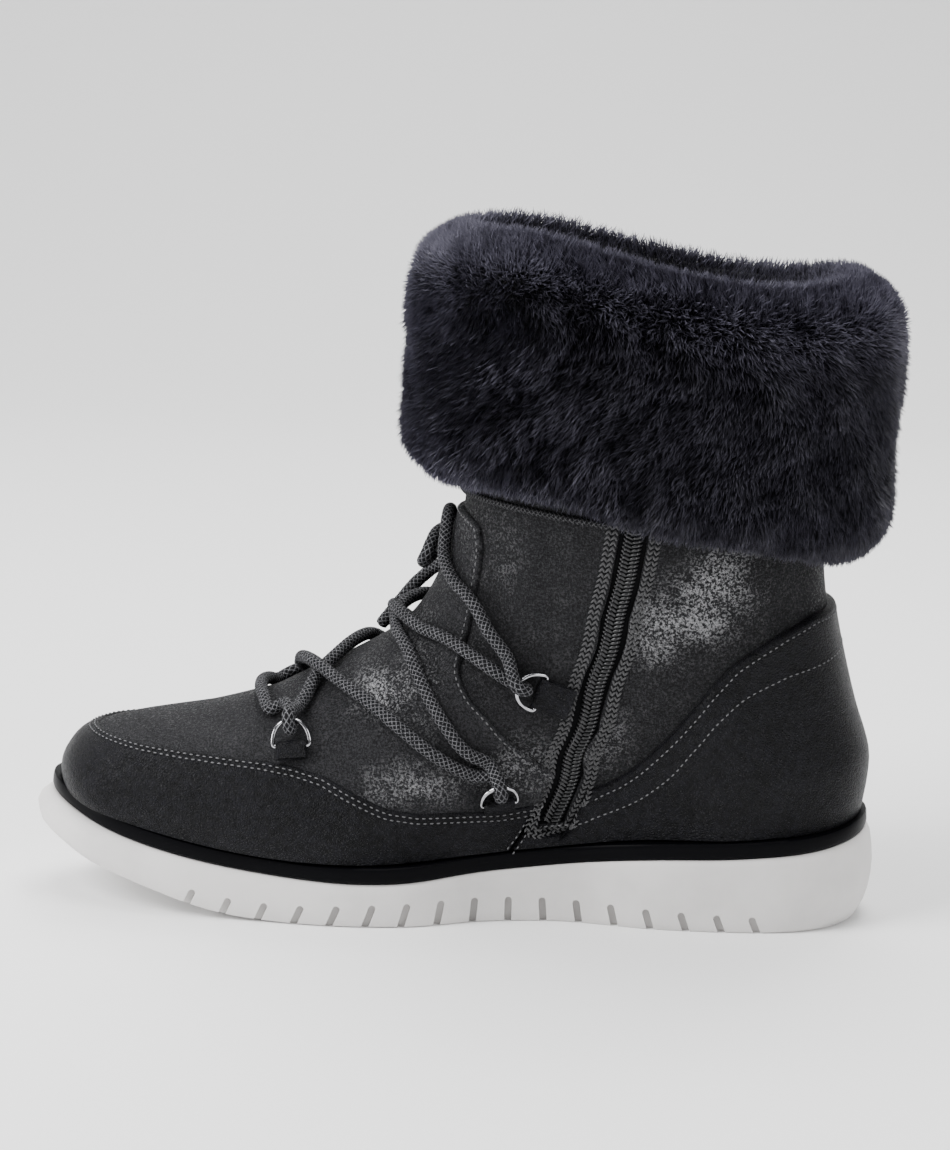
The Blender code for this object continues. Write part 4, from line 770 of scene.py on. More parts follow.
def tube(name, path, radius, finish, sides=16, relief_of=None, closed=False, rounded=(True, True)):
    """A round cord or wire along a path, with a UV map round and along it."""
    ahead = unit(np.roll(path, -1, 0) - np.roll(path, 1, 0) if closed else np.gradient(path, axis=0))
    beside = np.zeros_like(path)
    hint = np.array([0.0, 0.0, 1.0]) if abs(ahead[0][2]) < 0.9 else np.array([1.0, 0.0, 0.0])
    for i, direction in enumerate(ahead):
        hint = hint - direction * hint.dot(direction)
        hint = hint / np.linalg.norm(hint)
        beside[i] = hint
    other = np.cross(ahead, beside)
    turns = np.linspace(0, 2 * math.pi, sides, endpoint=False)
    lengths = lengths_of(path)
    u, v = np.meshgrid(turns / (2 * math.pi), lengths)
    size = np.full(u.shape, radius)
    if relief_of:
        size = radius * relief_of(u, v)
    if not closed:
        before = lengths if rounded[0] else radius
        after = lengths[-1] - lengths if rounded[1] else radius
        ends = np.minimum(before, after) / radius
        ends = ends * np.ones(len(path))
        size = size * np.sqrt(np.clip(1 - (1 - np.clip(ends, 0, 1)) ** 4, 0.04, 1))[:, None]
    rings = path[:, None] + size[..., None] * (np.cos(turns)[:, None] * beside[:, None]
                                               + np.sin(turns)[:, None] * other[:, None])
    rows = len(path)
    faces = grid_quads(rows, sides, True, closed)[:, ::-1].tolist()
    if not closed:
        faces += [list(range(sides)), list(range((rows - 1) * sides, rows * sides))[::-1]]
    piece = solid(name, rings.reshape(-1, 3), faces, [finish], 60, outwards=False)
    layer = piece.data.uv_layers.new(name="along")
    corner = np.empty(len(piece.data.loops), np.int32)
    piece.data.loops.foreach_get("vertex_index", corner)
    round_place, row_place = corner % sides, corner // sides
    uv = np.stack([round_place / sides, lengths[row_place]], axis=-1)
    quads = grid_quads(rows, sides, True, closed).size
    first = round_place[:quads].reshape(-1, 4)
    seam = (first.max(axis=1) == sides - 1) & (first.min(axis=1) == 0)
    fixed = uv[:quads].reshape(-1, 4, 2)
    fixed[seam, :, 0] = np.where(fixed[seam, :, 0] < 0.5, fixed[seam, :, 0] + 1, fixed[seam, :, 0])
    layer.data.foreach_set("uv", uv.astype(np.float32).ravel())
    return piece


def node_group(name, sockets):
    """An empty Geometry Nodes tree with a geometry input and output and named inputs."""
    tree = bpy.data.node_groups.new(name, "GeometryNodeTree")
    tree.interface.new_socket(name="Geometry", in_out="INPUT", socket_type="NodeSocketGeometry")
    tree.interface.new_socket(name="Geometry", in_out="OUTPUT", socket_type="NodeSocketGeometry")
    names = {}
    for title, kind in sockets:
        socket = tree.interface.new_socket(name=title, in_out="INPUT", socket_type="NodeSocket" + kind)
        names[title] = socket.identifier
    nodes = Nodes(tree)
    entry = tree.nodes.new("NodeGroupInput")
    given = {socket.name: Wire(nodes, socket) for socket in entry.outputs if socket.name}
    return nodes, given, names


def close_group(nodes, geometry, finish):
    """Ends a tree: its instances made real, with one material."""
    real = nodes.add("GeometryNodeRealizeInstances", None, {0: geometry})
    painted = nodes.add("GeometryNodeSetMaterial", None, {"Geometry": real, "Material": finish})
    exit_node = nodes.tree.nodes.new("NodeGroupOutput")
    nodes.tree.links.new(painted.socket, exit_node.inputs[0])


def grow(name, base, tree, names, values):
    """Runs a tree on a base object with its inputs set, and returns the result as a plain piece."""
    step = base.modifiers.new(tree.name, "NODES")
    step.node_group = tree
    for title, value in values.items():
        step[names[title]] = value
    bpy.context.view_layer.update()
    view = base.evaluated_get(bpy.context.evaluated_depsgraph_get())
    mesh = bpy.data.meshes.new_from_object(view)
    mesh.name = name
    bpy.data.objects.remove(base, do_unlink=True)
    return make_object(name, mesh)


def path_base(rows, outs=None):
    """An object of open chains of edges, with the way out of the skin kept on each point."""
    points, edges, away = [], [], []
    for number, row in enumerate(rows):
        edges += [(len(points) + i, len(points) + i + 1) for i in range(len(row) - 1)]
        points += np.asarray(row).tolist()
        upright = np.tile([0, 0, 1.0], (len(row), 1))
        away += (upright if outs is None else np.asarray(outs[number])).tolist()
    mesh = bpy.data.meshes.new("rows")
    mesh.from_pydata(points, edges, [])
    kept = mesh.attributes.new("away", "FLOAT_VECTOR", "POINT")
    kept.data.foreach_set("vector", np.array(away, np.float32).ravel())
    return make_object("rows", mesh)


def stitch_tree(name):
    """Stitches along rows: one bead of thread for each pitch, turned along its row."""
    sockets = [("Pitch", "Float"), ("Length", "Float"), ("Thickness", "Float"), ("Slant", "Float"),
               ("Aside", "Float"), ("Shift", "Float"), ("Material", "Material")]
    nodes, given, names = node_group(name, sockets)
    curve = nodes.add("GeometryNodeMeshToCurve", None, {0: given["Geometry"]})
    trimmed = nodes.add("GeometryNodeTrimCurve", {"mode": "LENGTH"},
                        {"Curve": curve, "Start": 0.0, "End": 10.0})
    trim = trimmed.socket.node
    for socket in trim.inputs:
        if socket.name == "Start" and socket.enabled:
            nodes.tree.links.new(given["Shift"].socket, socket)
        if socket.name == "End" and socket.enabled:
            socket.default_value = 10.0
    beads = nodes.add("GeometryNodeResampleCurve", {"mode": "LENGTH"},
                      {"Curve": trimmed, "Length": given["Pitch"]})
    ahead = nodes.add("GeometryNodeInputTangent")
    away = nodes.add("GeometryNodeInputNamedAttribute", {"data_type": "FLOAT_VECTOR"}, {"Name": "away"})
    upright = nodes.add("FunctionNodeAlignRotationToVector", {"axis": "Z"}, {"Vector": away})
    along = nodes.add("FunctionNodeAlignRotationToVector", {"axis": "X", "pivot_axis": "Z"},
                      {"Rotation": upright, "Vector": ahead})
    slant = nodes.add("FunctionNodeAxisAngleToRotation", None, {"Axis": (0, 0, 1), "Angle": given["Slant"]})
    turned = nodes.add("FunctionNodeRotateRotation", {"rotation_space": "LOCAL"}, {0: along, 1: slant})
    bead = nodes.add("GeometryNodeMeshUVSphere", None, {"Segments": 8, "Rings": 6, "Radius": 0.5})
    size = nodes.add("ShaderNodeCombineXYZ", None,
                     {0: given["Length"], 1: given["Thickness"], 2: given["Thickness"]})
    bead = nodes.add("GeometryNodeTransform", None, {"Geometry": bead, "Scale": size})
    sideways = nodes.add("ShaderNodeVectorMath", {"operation": "CROSS_PRODUCT"}, {0: away, 1: ahead})
    sideways = nodes.add("ShaderNodeVectorMath", {"operation": "SCALE"}, {0: sideways, 3: given["Aside"]})
    moved = nodes.add("GeometryNodeSetPosition", None, {"Geometry": beads, "Offset": sideways})
    placed = nodes.add("GeometryNodeInstanceOnPoints", None,
                       {"Points": moved, "Instance": bead, "Rotation": turned})
    shaded = nodes.add("GeometryNodeRealizeInstances", None, {0: placed})
    shaded = nodes.add("GeometryNodeSetShadeSmooth", None, {0: shaded})
    close_group(nodes, shaded, given["Material"])
    return nodes.tree, names


def fur_tree():
    """Fibres on a base: scattered over it, leaned by its comb and drawn together in clumps."""
    sockets = [("Density", "Float"), ("Length", "Float"), ("Lean", "Float"), ("Clump Size", "Float"),
               ("Clump Pull", "Float"), ("Seed", "Int"), ("Fibre", "Object"), ("Material", "Material")]
    nodes, given, names = node_group("fur", sockets)
    scatter = nodes.add("GeometryNodeDistributePointsOnFaces", {"distribute_method": "RANDOM"},
                        {"Mesh": given["Geometry"], "Seed": given["Seed"]})
    cover = nodes.add("GeometryNodeInputNamedAttribute", {"data_type": "FLOAT"}, {"Name": "cover"})
    wanted = given["Density"] * cover
    for socket in scatter.socket.node.inputs:
        if socket.name == "Density" and socket.enabled:
            nodes.tree.links.new(wanted.socket, socket)
    upright = Wire(nodes, scatter.socket.node.outputs["Normal"])
    comb = nodes.add("GeometryNodeInputNamedAttribute", {"data_type": "FLOAT_VECTOR"}, {"Name": "comb"})
    where = nodes.add("GeometryNodeInputPosition")

    def vector(operation, first, second=None, scale=None):
        inputs = {0: first}
        if second is not None:
            inputs[1] = second
        if scale is not None:
            inputs[3] = scale
        return nodes.add("ShaderNodeVectorMath", {"operation": operation}, inputs)

    clump = nodes.add("ShaderNodeTexNoise", None,
                      {"Vector": where, "Scale": 1 / given["Clump Size"], "Detail": 1.5, "Roughness": 0.5}, 1)
    clump = vector("SCALE", vector("SUBTRACT", clump, (0.5, 0.5, 0.5)), None, given["Clump Pull"])
    stray = nodes.add("FunctionNodeRandomValue", {"data_type": "FLOAT_VECTOR"},
                      {0: (-0.22, -0.22, -0.22), 1: (0.22, 0.22, 0.22), "Seed": 3})
    lean = vector("SCALE", comb, None, given["Lean"])
    way = vector("ADD", vector("ADD", vector("ADD", upright, lean), clump), stray)
    rotation = nodes.add("FunctionNodeAlignRotationToVector", {"axis": "Z"}, {"Vector": way})
    bent = vector("ADD", comb, vector("SCALE", stray, None, 2.5))
    rotation = nodes.add("FunctionNodeAlignRotationToVector", {"axis": "X", "pivot_axis": "Z"},
                         {"Rotation": rotation, "Vector": bent})
    own = nodes.add("FunctionNodeRandomValue", {"data_type": "FLOAT"}, {2: 0.0, 3: 1.0, "Seed": 5}, 1)
    share = nodes.add("GeometryNodeInputNamedAttribute", {"data_type": "FLOAT"}, {"Name": "pile"})
    size = (0.62 + own * 0.58) * given["Length"] * share
    fibre = nodes.add("GeometryNodeObjectInfo", None,
                      {"Object": given["Fibre"], "As Instance": True}, "Geometry")
    placed = nodes.add("GeometryNodeInstanceOnPoints", None,
                       {"Points": scatter, "Instance": fibre, "Rotation": rotation, "Scale": size})
    placed = nodes.add("GeometryNodeStoreNamedAttribute", {"data_type": "FLOAT", "domain": "INSTANCE"},
                       {"Geometry": placed, "Name": "own_tone", "Value": own})
    close_group(nodes, placed, given["Material"])
    return nodes.tree, names


def sole_rings(levels, steps, low, high):
    """Rings of points of a layer of the sole, between two heights."""
    turns = np.concatenate([-np.linspace(0, math.pi, steps + 1), np.linspace(math.pi, 0, steps + 1)[1:-1]])
    sides = {side: [row.medial if side < 0 else row.lateral for row in SOLE_OUTLINE] for side in (-1, 1)}
    knots = [0.0, *turn_of(np.array([row.run for row in SOLE_OUTLINE])), math.pi]
    rings = []
    for level in levels:
        start, end = TOE_X + level.toe, HEEL_X - level.heel
        x = start + (1 - np.cos(turns)) / 2 * (end - start)
        y = np.zeros_like(x)
        for side in (-1, 1):
            mine = np.sign(turns) == side
            width = SOLE_WIDTH * smooth(knots, [0.0, *sides[side], 0.0], np.abs(turns[mine]))
            y[mine] = side * width * (1 - 2 * level.side / SOLE_WIDTH)
        rings.append(np.stack([x, y, low(x) + level.rise * (high(x) - low(x))], axis=-1))
    return np.array(rings)


def sole_layer(name, levels, steps, low, high, finish):
    """A closed layer of the sole, its top and underside made of strips."""
    rings = sole_rings(levels, steps, low, high)
    count = 2 * steps
    faces = grid_quads(len(levels), count, True).tolist()
    for first in (0, (len(levels) - 1) * count):
        for i in range(steps):
            face = [i, i + 1, (count - i - 1) % count, (count - i) % count]
            faces.append([first + corner for corner in dict.fromkeys(face)])
    return solid(name, rings.reshape(-1, 3), faces, [finish], 35)


def groove_cutters():
    """The lug grooves as one cutter, with rounded tops in the sole's sides."""
    build = bmesh.new()
    reach = SOLE_WIDTH * 0.75
    knots = [0.0, *turn_of(np.array([row.run for row in SOLE_OUTLINE])), math.pi]
    for index in range(GROOVES):
        x = TOE_X + FIRST_GROOVE + index * LUG_PITCH
        share = index / (GROOVES - 1)
        height = float(smooth([0, 0.4, 1], [GROOVE_TOE, GROOVE_WAIST, GROOVE_HEEL], share))
        lean = GROOVE_LEAN * float(smooth([0, 0.32, 0.55, 0.8, 1], [1.0, 0.8, 0.0, -0.7, -1.0], share))
        edge = {}
        for side in (-1, 1):
            table = [row.medial if side < 0 else row.lateral for row in SOLE_OUTLINE]
            turn = float(turn_of(run_of(x)))
            edge[side] = SOLE_WIDTH * float(smooth(knots, [0.0, *table, 0.0], turn))
        half = LUG_GROOVE / 2
        arch = [(-half, -0.006), (half, -0.006)]
        arch += [(half * math.cos(a), height - half + half * math.sin(a)) for a in np.linspace(0, math.pi, 9)]
        for start, end, top in ((-reach, -edge[-1] + GROOVE_BITE, None), (edge[1] - GROOVE_BITE, reach, None),
                                (-edge[-1] + 2 * GROOVE_BITE, edge[1] - 2 * GROOVE_BITE, TREAD_GROOVE)):
            shape = arch if top is None else [(-half, -0.006), (half, -0.006), (half, top), (-half, top)]
            wall = build.faces.new([build.verts.new((a, start, z)) for a, z in shape])
            pulled = bmesh.ops.extrude_face_region(build, geom=[wall])["geom"]
            corners = [item for item in pulled if isinstance(item, bmesh.types.BMVert)]
            bmesh.ops.translate(build, verts=corners, vec=(0, end - start, 0))
            made = list(wall.verts) + corners
            bmesh.ops.rotate(build, verts=made, cent=(0, 0, 0), matrix=Matrix.Rotation(lean, 3, "Y"))
            bmesh.ops.translate(build, verts=made, vec=(x, 0, float(tread(x))))
    bmesh.ops.recalc_face_normals(build, faces=build.faces)
    mesh = bpy.data.meshes.new("grooves")
    build.to_mesh(mesh)
    build.free()
    return make_object("grooves", mesh)


def apply_modifiers(piece):
    """Turns a piece's modifiers into plain mesh."""
    bpy.context.view_layer.update()
    view = piece.evaluated_get(bpy.context.evaluated_depsgraph_get())
    mesh = bpy.data.meshes.new_from_object(view)
    old = piece.data
    piece.modifiers.clear()
    piece.data = mesh
    bpy.data.meshes.remove(old)
    mesh.name = piece.name
    return piece


def foil_and_highlight_of(points):
    """How much of the metallic film is left, from 0 to 1, and where its colour is painted lighter as a
    highlight: most on the bulges that catch the light.
    """
    # Each spot is a painted highlight on the film, where light falls on a bulge.
    spots = (  # side, x, z, reach along, reach up, strength, in millimetres
        (-1, -16, 48, 22, 8, 0.85), (-1, -30, 78, 9, 9, 0.9), (-1, -14, 84, 9, 22, 0.6),
        (-1, -3, 128, 6, 12, 0.5), (-1, 20, 56, 14, 10, 0.9), (-1, 84, 120, 14, 16, 1.1),
        (-1, 64, 104, 16, 14, 0.9), (-1, 50, 62, 12, 12, 0.6), (-1, 12, 128, 10, 12, 0.3),
        (1, -22, 58, 26, 14, 1.0), (1, -14, 84, 9, 22, 1.0), (1, 40, 100, 22, 18, 0.7),
        (1, 84, 116, 16, 18, 0.7), (1, 20, 66, 20, 14, 0.6),
    )
    total = np.zeros(len(points))
    for side, x, z, along, up, strength in spots:
        near = np.exp(-((points[:, 0] - SOLE_MIDDLE - x * MM) / (along * MM)) ** 2
                      - ((points[:, 2] - z * MM) / (up * MM)) ** 2)
        total += strength * near / (1 + np.exp(-side * points[:, 1] / (4 * MM)))
    return np.clip(total, 0, 1.2)


def mark_foil_and_highlight(piece):
    """Keeps the film's share, with its painted highlight, on a piece's points."""
    count = len(piece.data.vertices)
    points = np.empty(count * 3, np.float32)
    piece.data.vertices.foreach_get("co", points)
    kept = piece.data.attributes.new("foil", "FLOAT", "POINT")
    kept.data.foreach_set("value", foil_and_highlight_of(points.reshape(-1, 3)).astype(np.float32))


def zip_sheet(along, aside):
    """Points and ways out of the skin at distances up the zip's line from its foot and beside it."""
    spots = line_spots(ZIP_LINE, -1)
    turns, levels = through(spots, 400)
    lengths = lengths_of(skin(turns, levels))
    below = np.minimum(along, 0.0) / lengths[8]
    turn = np.interp(along, lengths, turns) + below * (turns[8] - turns[0])
    level = np.interp(along, lengths, levels) + below * (levels[8] - levels[0])
    wide = np.linalg.norm(skin_points(turn + 0.02, level) - skin_points(turn - 0.02, level), axis=1) / 0.04
    turn = wrap(turn - aside / wide)
    return skin(turn, level), normals(turn, level), lengths[-1]


def zip_places(spacing=0.0005):
    """Centre points, directions along and ways out of the zip's line, from its foot up."""
    reach = zip_sheet(np.zeros(1), np.zeros(1))[2]
    at = np.arange(0, reach, spacing)
    points, out, reach = zip_sheet(at, np.zeros_like(at))
    ahead = np.gradient(points, axis=0)
    ahead = unit(ahead - out * (ahead * out).sum(axis=1, keepdims=True))
    return points, ahead, out


def upper_piece(finishes):
    """The quarters and shaft: a hollow shell with the zip's slot pressed into its inner side."""
    spots = line_spots(ZIP_LINE, -1)
    foot = spots[0][1]
    levels = np.unique(np.concatenate([np.linspace(0, 2.6, 20), np.linspace(2.6, 11.5, 120),
                                       np.linspace(11.5, COLLAR, 14), [foot - 0.02, foot + 0.02]]))
    across = np.array([-7, -4.5, -2.6, -1.2, -0.5, -0.12, 0.12, 0.5, 1.5]) * MM
    half = ZIP_SLOT / 2
    across = np.concatenate([across - half, [0.0], half - across[::-1]])
    inside = np.clip((half - np.abs(across)) / (0.24 * MM) + 0.5, 0, 1)
    lip = 0.35 * MM * np.exp(-((np.abs(across) - half - 0.7 * MM) / (1.2 * MM)) ** 2)
    rows, outs = [], []
    for level in levels:
        centre = float(np.interp(level, spots[:, 1], spots[:, 0]))
        ends = skin_points(np.array([centre - 0.02, centre + 0.02]), np.array([level, level]))
        slot_turns = centre - across / (np.linalg.norm(ends[1] - ends[0]) / 0.04)
        opened = np.clip((level - foot) / 0.04 + 0.5, 0, 1)
        front = np.linspace(0, slot_turns[0], 76)[:-1]
        back = np.linspace(slot_turns[-1], -math.pi, 52)[1:]
        side = np.linspace(math.pi, 0, 110)[1:-1]
        rows.append(np.concatenate([front, slot_turns, back, side]))
        outs.append(np.concatenate([front * 0, (lip - inside * ZIP_SLOT_DEPTH) * opened, back * 0, side * 0]))
    turns, outs = np.array(rows), np.array(outs)
    columns = turns.shape[1]
    flat = np.repeat(levels, columns)
    face = skin(turns.ravel(), flat, outs.ravel())
    inner_levels = np.linspace(COLLAR, 0, 70)
    inner_turns = np.array([turns[np.abs(levels - level).argmin()] for level in inner_levels])
    lining = skin(inner_turns.ravel(), np.repeat(inner_levels, columns), -UPPER_WALL)
    points = np.concatenate([face, lining])
    total = len(levels) + len(inner_levels)
    piece = solid("upper_suede", points, grid_quads(total, columns, True, True), finishes, 45)
    count = len(levels) * columns
    places = np.empty(len(piece.data.loops), np.int32)
    piece.data.loops.foreach_get("vertex_index", places)
    lined = (places.reshape(-1, 4).min(axis=1) >= count).astype(np.int32)
    piece.data.polygons.foreach_set("material_index", lined)
    mark_foil_and_highlight(piece)
    return piece


EDGE = np.array([0.0, 0.15, 0.35, 0.6, 0.9, 1.2, 1.5, 1.8, 2.1, 2.5, 2.9, 3.3, 3.7, 4.2, 5.0]) * MM


def spread(count, length, start, end):
    """Shares along a length: crowded at its folded ends and even between them."""
    head = EDGE / length if start else np.array([0.0])
    tail = 1 - EDGE[::-1] / length if end else np.array([1.0])
    return np.concatenate([head, np.linspace(head[-1], tail[0], count)[1:-1], tail])


def panel(name, spots, columns, rows, edges, face_height, stitches, finish, rest=None):
    """A panel sewn on the upper.

    spots gives turn and level for shares along and up; edges names the folded ones; stitches are
    the distances of the rows sewn along them; rest gives the height that the folded edges meet.
    """
    a, b = np.meshgrid(np.linspace(0, 1, 60), np.linspace(0, 1, 30))
    coarse = skin(*spots(a.ravel(), b.ravel())).reshape(30, 60, 3)
    tall = np.linalg.norm(np.diff(coarse, axis=0), axis=2).sum(axis=0)
    wide = np.linalg.norm(np.diff(coarse, axis=1), axis=2).sum(axis=1)
    nominal = spread(columns, wide.mean(), "start" in edges, "end" in edges)
    heights = np.interp(nominal, np.linspace(0, 1, 60), tall)
    up = np.stack([spread(rows, max(h, 0.012), "bottom" in edges, "top" in edges) for h in heights], axis=1)
    widths = np.interp(up, np.linspace(0, 1, 30), wide)
    along = np.stack([spread(columns, w, "start" in edges, "end" in edges) for w in widths.mean(axis=1)])
    turns, levels = spots(along.ravel(), up.ravel())
    ground = skin(turns, levels)
    shape = (*up.shape, 3)
    grid = ground.reshape(shape)
    borders = {"bottom": grid[0], "top": grid[-1], "start": grid[:, 0], "end": grid[:, -1]}
    rim = np.concatenate([resample(borders[edge], 0.0004) for edge in edges])
    away = np.concatenate([np.sqrt(((part[:, None] - rim[None]) ** 2).sum(axis=2).min(axis=1))
                           for part in np.array_split(ground, 40)]).reshape(up.shape)
    for edge, index in (("bottom", (0, slice(None))), ("top", (-1, slice(None))),
                        ("start", (slice(None), 0)), ("end", (slice(None), -1))):
        if edge in edges:
            away[index] = 0.0
    low = 0.0001 if rest is None else rest(ground).reshape(up.shape)
    fold = np.sqrt(1 - (1 - np.clip(away / (1.3 * MM), 0, 1)) ** 2)
    height = low + (face_height - low) * fold
    for distance in stitches:
        height = height - 0.00022 * np.exp(-((away - distance) / (0.42 * MM)) ** 2)
    face = skin(turns, levels, height.ravel()).reshape(shape)
    back = skin(turns, levels, np.minimum(height.ravel() - 0.0001, np.ravel(low) * np.ones(up.size) - 0.0002))
    piece = closed_sheet(name, face, back.reshape(shape), [finish])
    mark_foil_and_highlight(piece)
    return piece, borders


def mudguard_spots():
    """Turn and level over the mudguard, from its joins with the counter, heel to heel round the toe."""
    foot = {side: float(turn_at(np.zeros(1), TOE_X + JOIN_FOOT * SOLE_LENGTH, side)[0]) for side in (-1, 1)}
    head = {side: line_spots(MUDGUARD_TOP[-1:], side)[0][0] for side in (-1, 1)}
    table = np.linspace(0, 1, 200)
    top_turns = head[-1] + (head[1] - head[-1]) * table
    top_levels = edge_levels(MUDGUARD_TOP, top_turns)

    def spots(a, b):
        low = foot[-1] + (foot[1] - foot[-1]) * a
        high = head[-1] + (head[1] - head[-1]) * a
        level = np.interp(a, table, top_levels)
        return low + (high - low) * b, PANEL_FOOT + (level - PANEL_FOOT) * b

    return spots


def counter_spots():
    """Turn and level over the counter, round the heel from the medial join to the lateral one."""
    foot = {side: float(turn_at(np.zeros(1), TOE_X + JOIN_FOOT * SOLE_LENGTH + 2 * GAP, side)[0])
            for side in (-1, 1)}
    head = {side: place(side, x=TOE_X + COUNTER_TOP[0].run * SOLE_LENGTH + 2 * GAP,
                        z=COUNTER_TOP[0].rise * INSTEP_HEIGHT)[0] for side in (-1, 1)}
    table = np.concatenate([np.linspace(0, 0.115, 70)[:-1], np.linspace(0.115, 1, 200)])
    around = 2 * math.pi - (head[1] - head[-1])
    turns = wrap(head[-1] - around * table)
    notched = edge_levels(ZIP_NOTCH + COUNTER_TOP[1:], turns)
    plain = edge_levels(COUNTER_TOP, turns)
    top_levels = np.where(turns < 0, notched, plain)

    def spots(a, b):
        low = foot[-1] - (2 * math.pi - (foot[1] - foot[-1])) * a
        high = head[-1] - around * a
        level = np.interp(a, table, top_levels)
        return low + (high - low) * b, PANEL_FOOT + (level - PANEL_FOOT) * b

    return spots


def vamp_spots():
    """Turn and level over the front panel, from its inner edge to its outer one."""
    table = np.linspace(0, 1, 160)
    edge = {side: line_spots(VAMP_EDGE, side) for side in (-1, 1)}
    corner = {side: line_spots(VAMP_FOOT, side) for side in (-1, 1)}

    def along(points, share):
        knots = np.linspace(0, 1, len(points))
        return np.stack([smooth(knots, column, share) for column in points.T], axis=-1)

    sides = {side: along(edge[side], table) for side in (-1, 1)}
    limits = [corner[side][1][0] for side in (-1, 1)]
    middle = limits[0] + (limits[1] - limits[0]) * (table - VAMP_FOOT_SHARE) / (1 - 2 * VAMP_FOOT_SHARE)
    bottom = np.stack([middle, edge_levels(MUDGUARD_TOP, middle, -0.0028)], axis=-1)
    for side, share in ((-1, table), (1, 1 - table)):
        near = share < VAMP_FOOT_SHARE
        part = (share[near] / VAMP_FOOT_SHARE)[:, None]
        inner = np.array([limits[0 if side < 0 else 1], 0.0])
        inner[1] = edge_levels(MUDGUARD_TOP, inner[:1], -0.0028)[0]
        bottom[near] = corner[side][0] + (inner - corner[side][0]) * part
    top_turns = edge[-1][-1][0] + (edge[1][-1][0] - edge[-1][-1][0]) * table
    rise = VAMP_EDGE[-1].rise
    rise = rise + (VAMP_TOP - rise) * np.sqrt(np.maximum(0.0, 1 - (2 * table - 1) ** 2))
    top = np.stack([top_turns, level_at(top_turns, rise * INSTEP_HEIGHT)], axis=-1)

    def spots(a, b):
        low, high, first, last = [np.stack([np.interp(share, table, rows[:, i]) for i in (0, 1)], axis=-1)
                                  for share, rows in ((a, bottom), (a, top), (b, sides[-1]), (b, sides[1]))]
        a, b = a[:, None], b[:, None]
        spot = (1 - b) * low + b * high + (1 - a) * first + a * last
        spot = spot - (1 - b) * ((1 - a) * bottom[0] + a * bottom[-1]) - b * ((1 - a) * top[0] + a * top[-1])
        return spot[:, 0], spot[:, 1]

    return spots


def ring_height(spot, wire):
    """How far a ring's bar lies out of the skin."""
    return spot.base + 0.0006 + TAB_THICKNESS + wire / 2 + GAP


def ring_turn(name, over, wire, thick):
    """The end of a lace's pass in a ring: a quarter turn round the wire from the middle of its hole."""
    spot = next(spot for spot in RING_SPOTS if spot.name == name)
    bar, reach, _, away = ring_frame(spot, ring_height(spot, wire))
    lifted = reach * math.cos(RING_TILT) + away * math.sin(RING_TILT)
    through = away * math.cos(RING_TILT) - reach * math.sin(RING_TILT)
    size = (thick + wire) / 2 + GAP
    top = bar + lifted * RING_HEIGHT
    side = 1 if over else -1
    return [top + size * (through * side * math.sin(turn) - lifted * math.cos(turn))
            for turn in (0.0, 0.4, 0.8, 1.2, 1.6)]


def ring_frame(spot, out):
    """Where a ring's bar lies, and the directions that its loop reaches in, across and out."""
    turn, level = place(spot.side, x=TOE_X + spot.run * SOLE_LENGTH, z=spot.rise * INSTEP_HEIGHT)
    away = normals(np.array([turn]), np.array([level]))[0]
    ahead = unit(np.array([1.0, 0, 0]) - away * away[0])
    up = np.cross(away, ahead)
    up = up if up[2] > 0 else -up
    reach = ahead * math.cos(spot.angle) + up * math.sin(spot.angle)
    return skin(turn, level, out)[0], reach, np.cross(reach, away), away


def route(rows, start=(), end=()):
    """Points of a cord, about half a millimetre apart, from a smooth curve through its passes."""
    spots = [*start]
    for row in rows:
        given = {key: getattr(row, key) * MM for key in ("x", "y", "z") if getattr(row, key) is not None}
        if "x" in given:
            given["x"] += SOLE_MIDDLE
        turn, level = place(row.side, **given)
        spots.append(skin(turn, level, LACE_LIFT + row.lift * MM)[0])
    spots += [*end][::-1]
    return resample(np.array(spots), 0.00055)


def braid(carriers, pitch, height):
    """The relief of a braid: strands that cross over and under each other."""
    def relief_of(u, v):
        one, other = u * carriers + v / pitch, u * carriers - v / pitch
        crossing = (np.floor(one) + np.floor(other)) % 2
        hump = np.where(crossing > 0.5, np.abs(np.sin(math.pi * one)), np.abs(np.sin(math.pi * other)))
        return 1 + height * (hump - 0.6)
    return relief_of


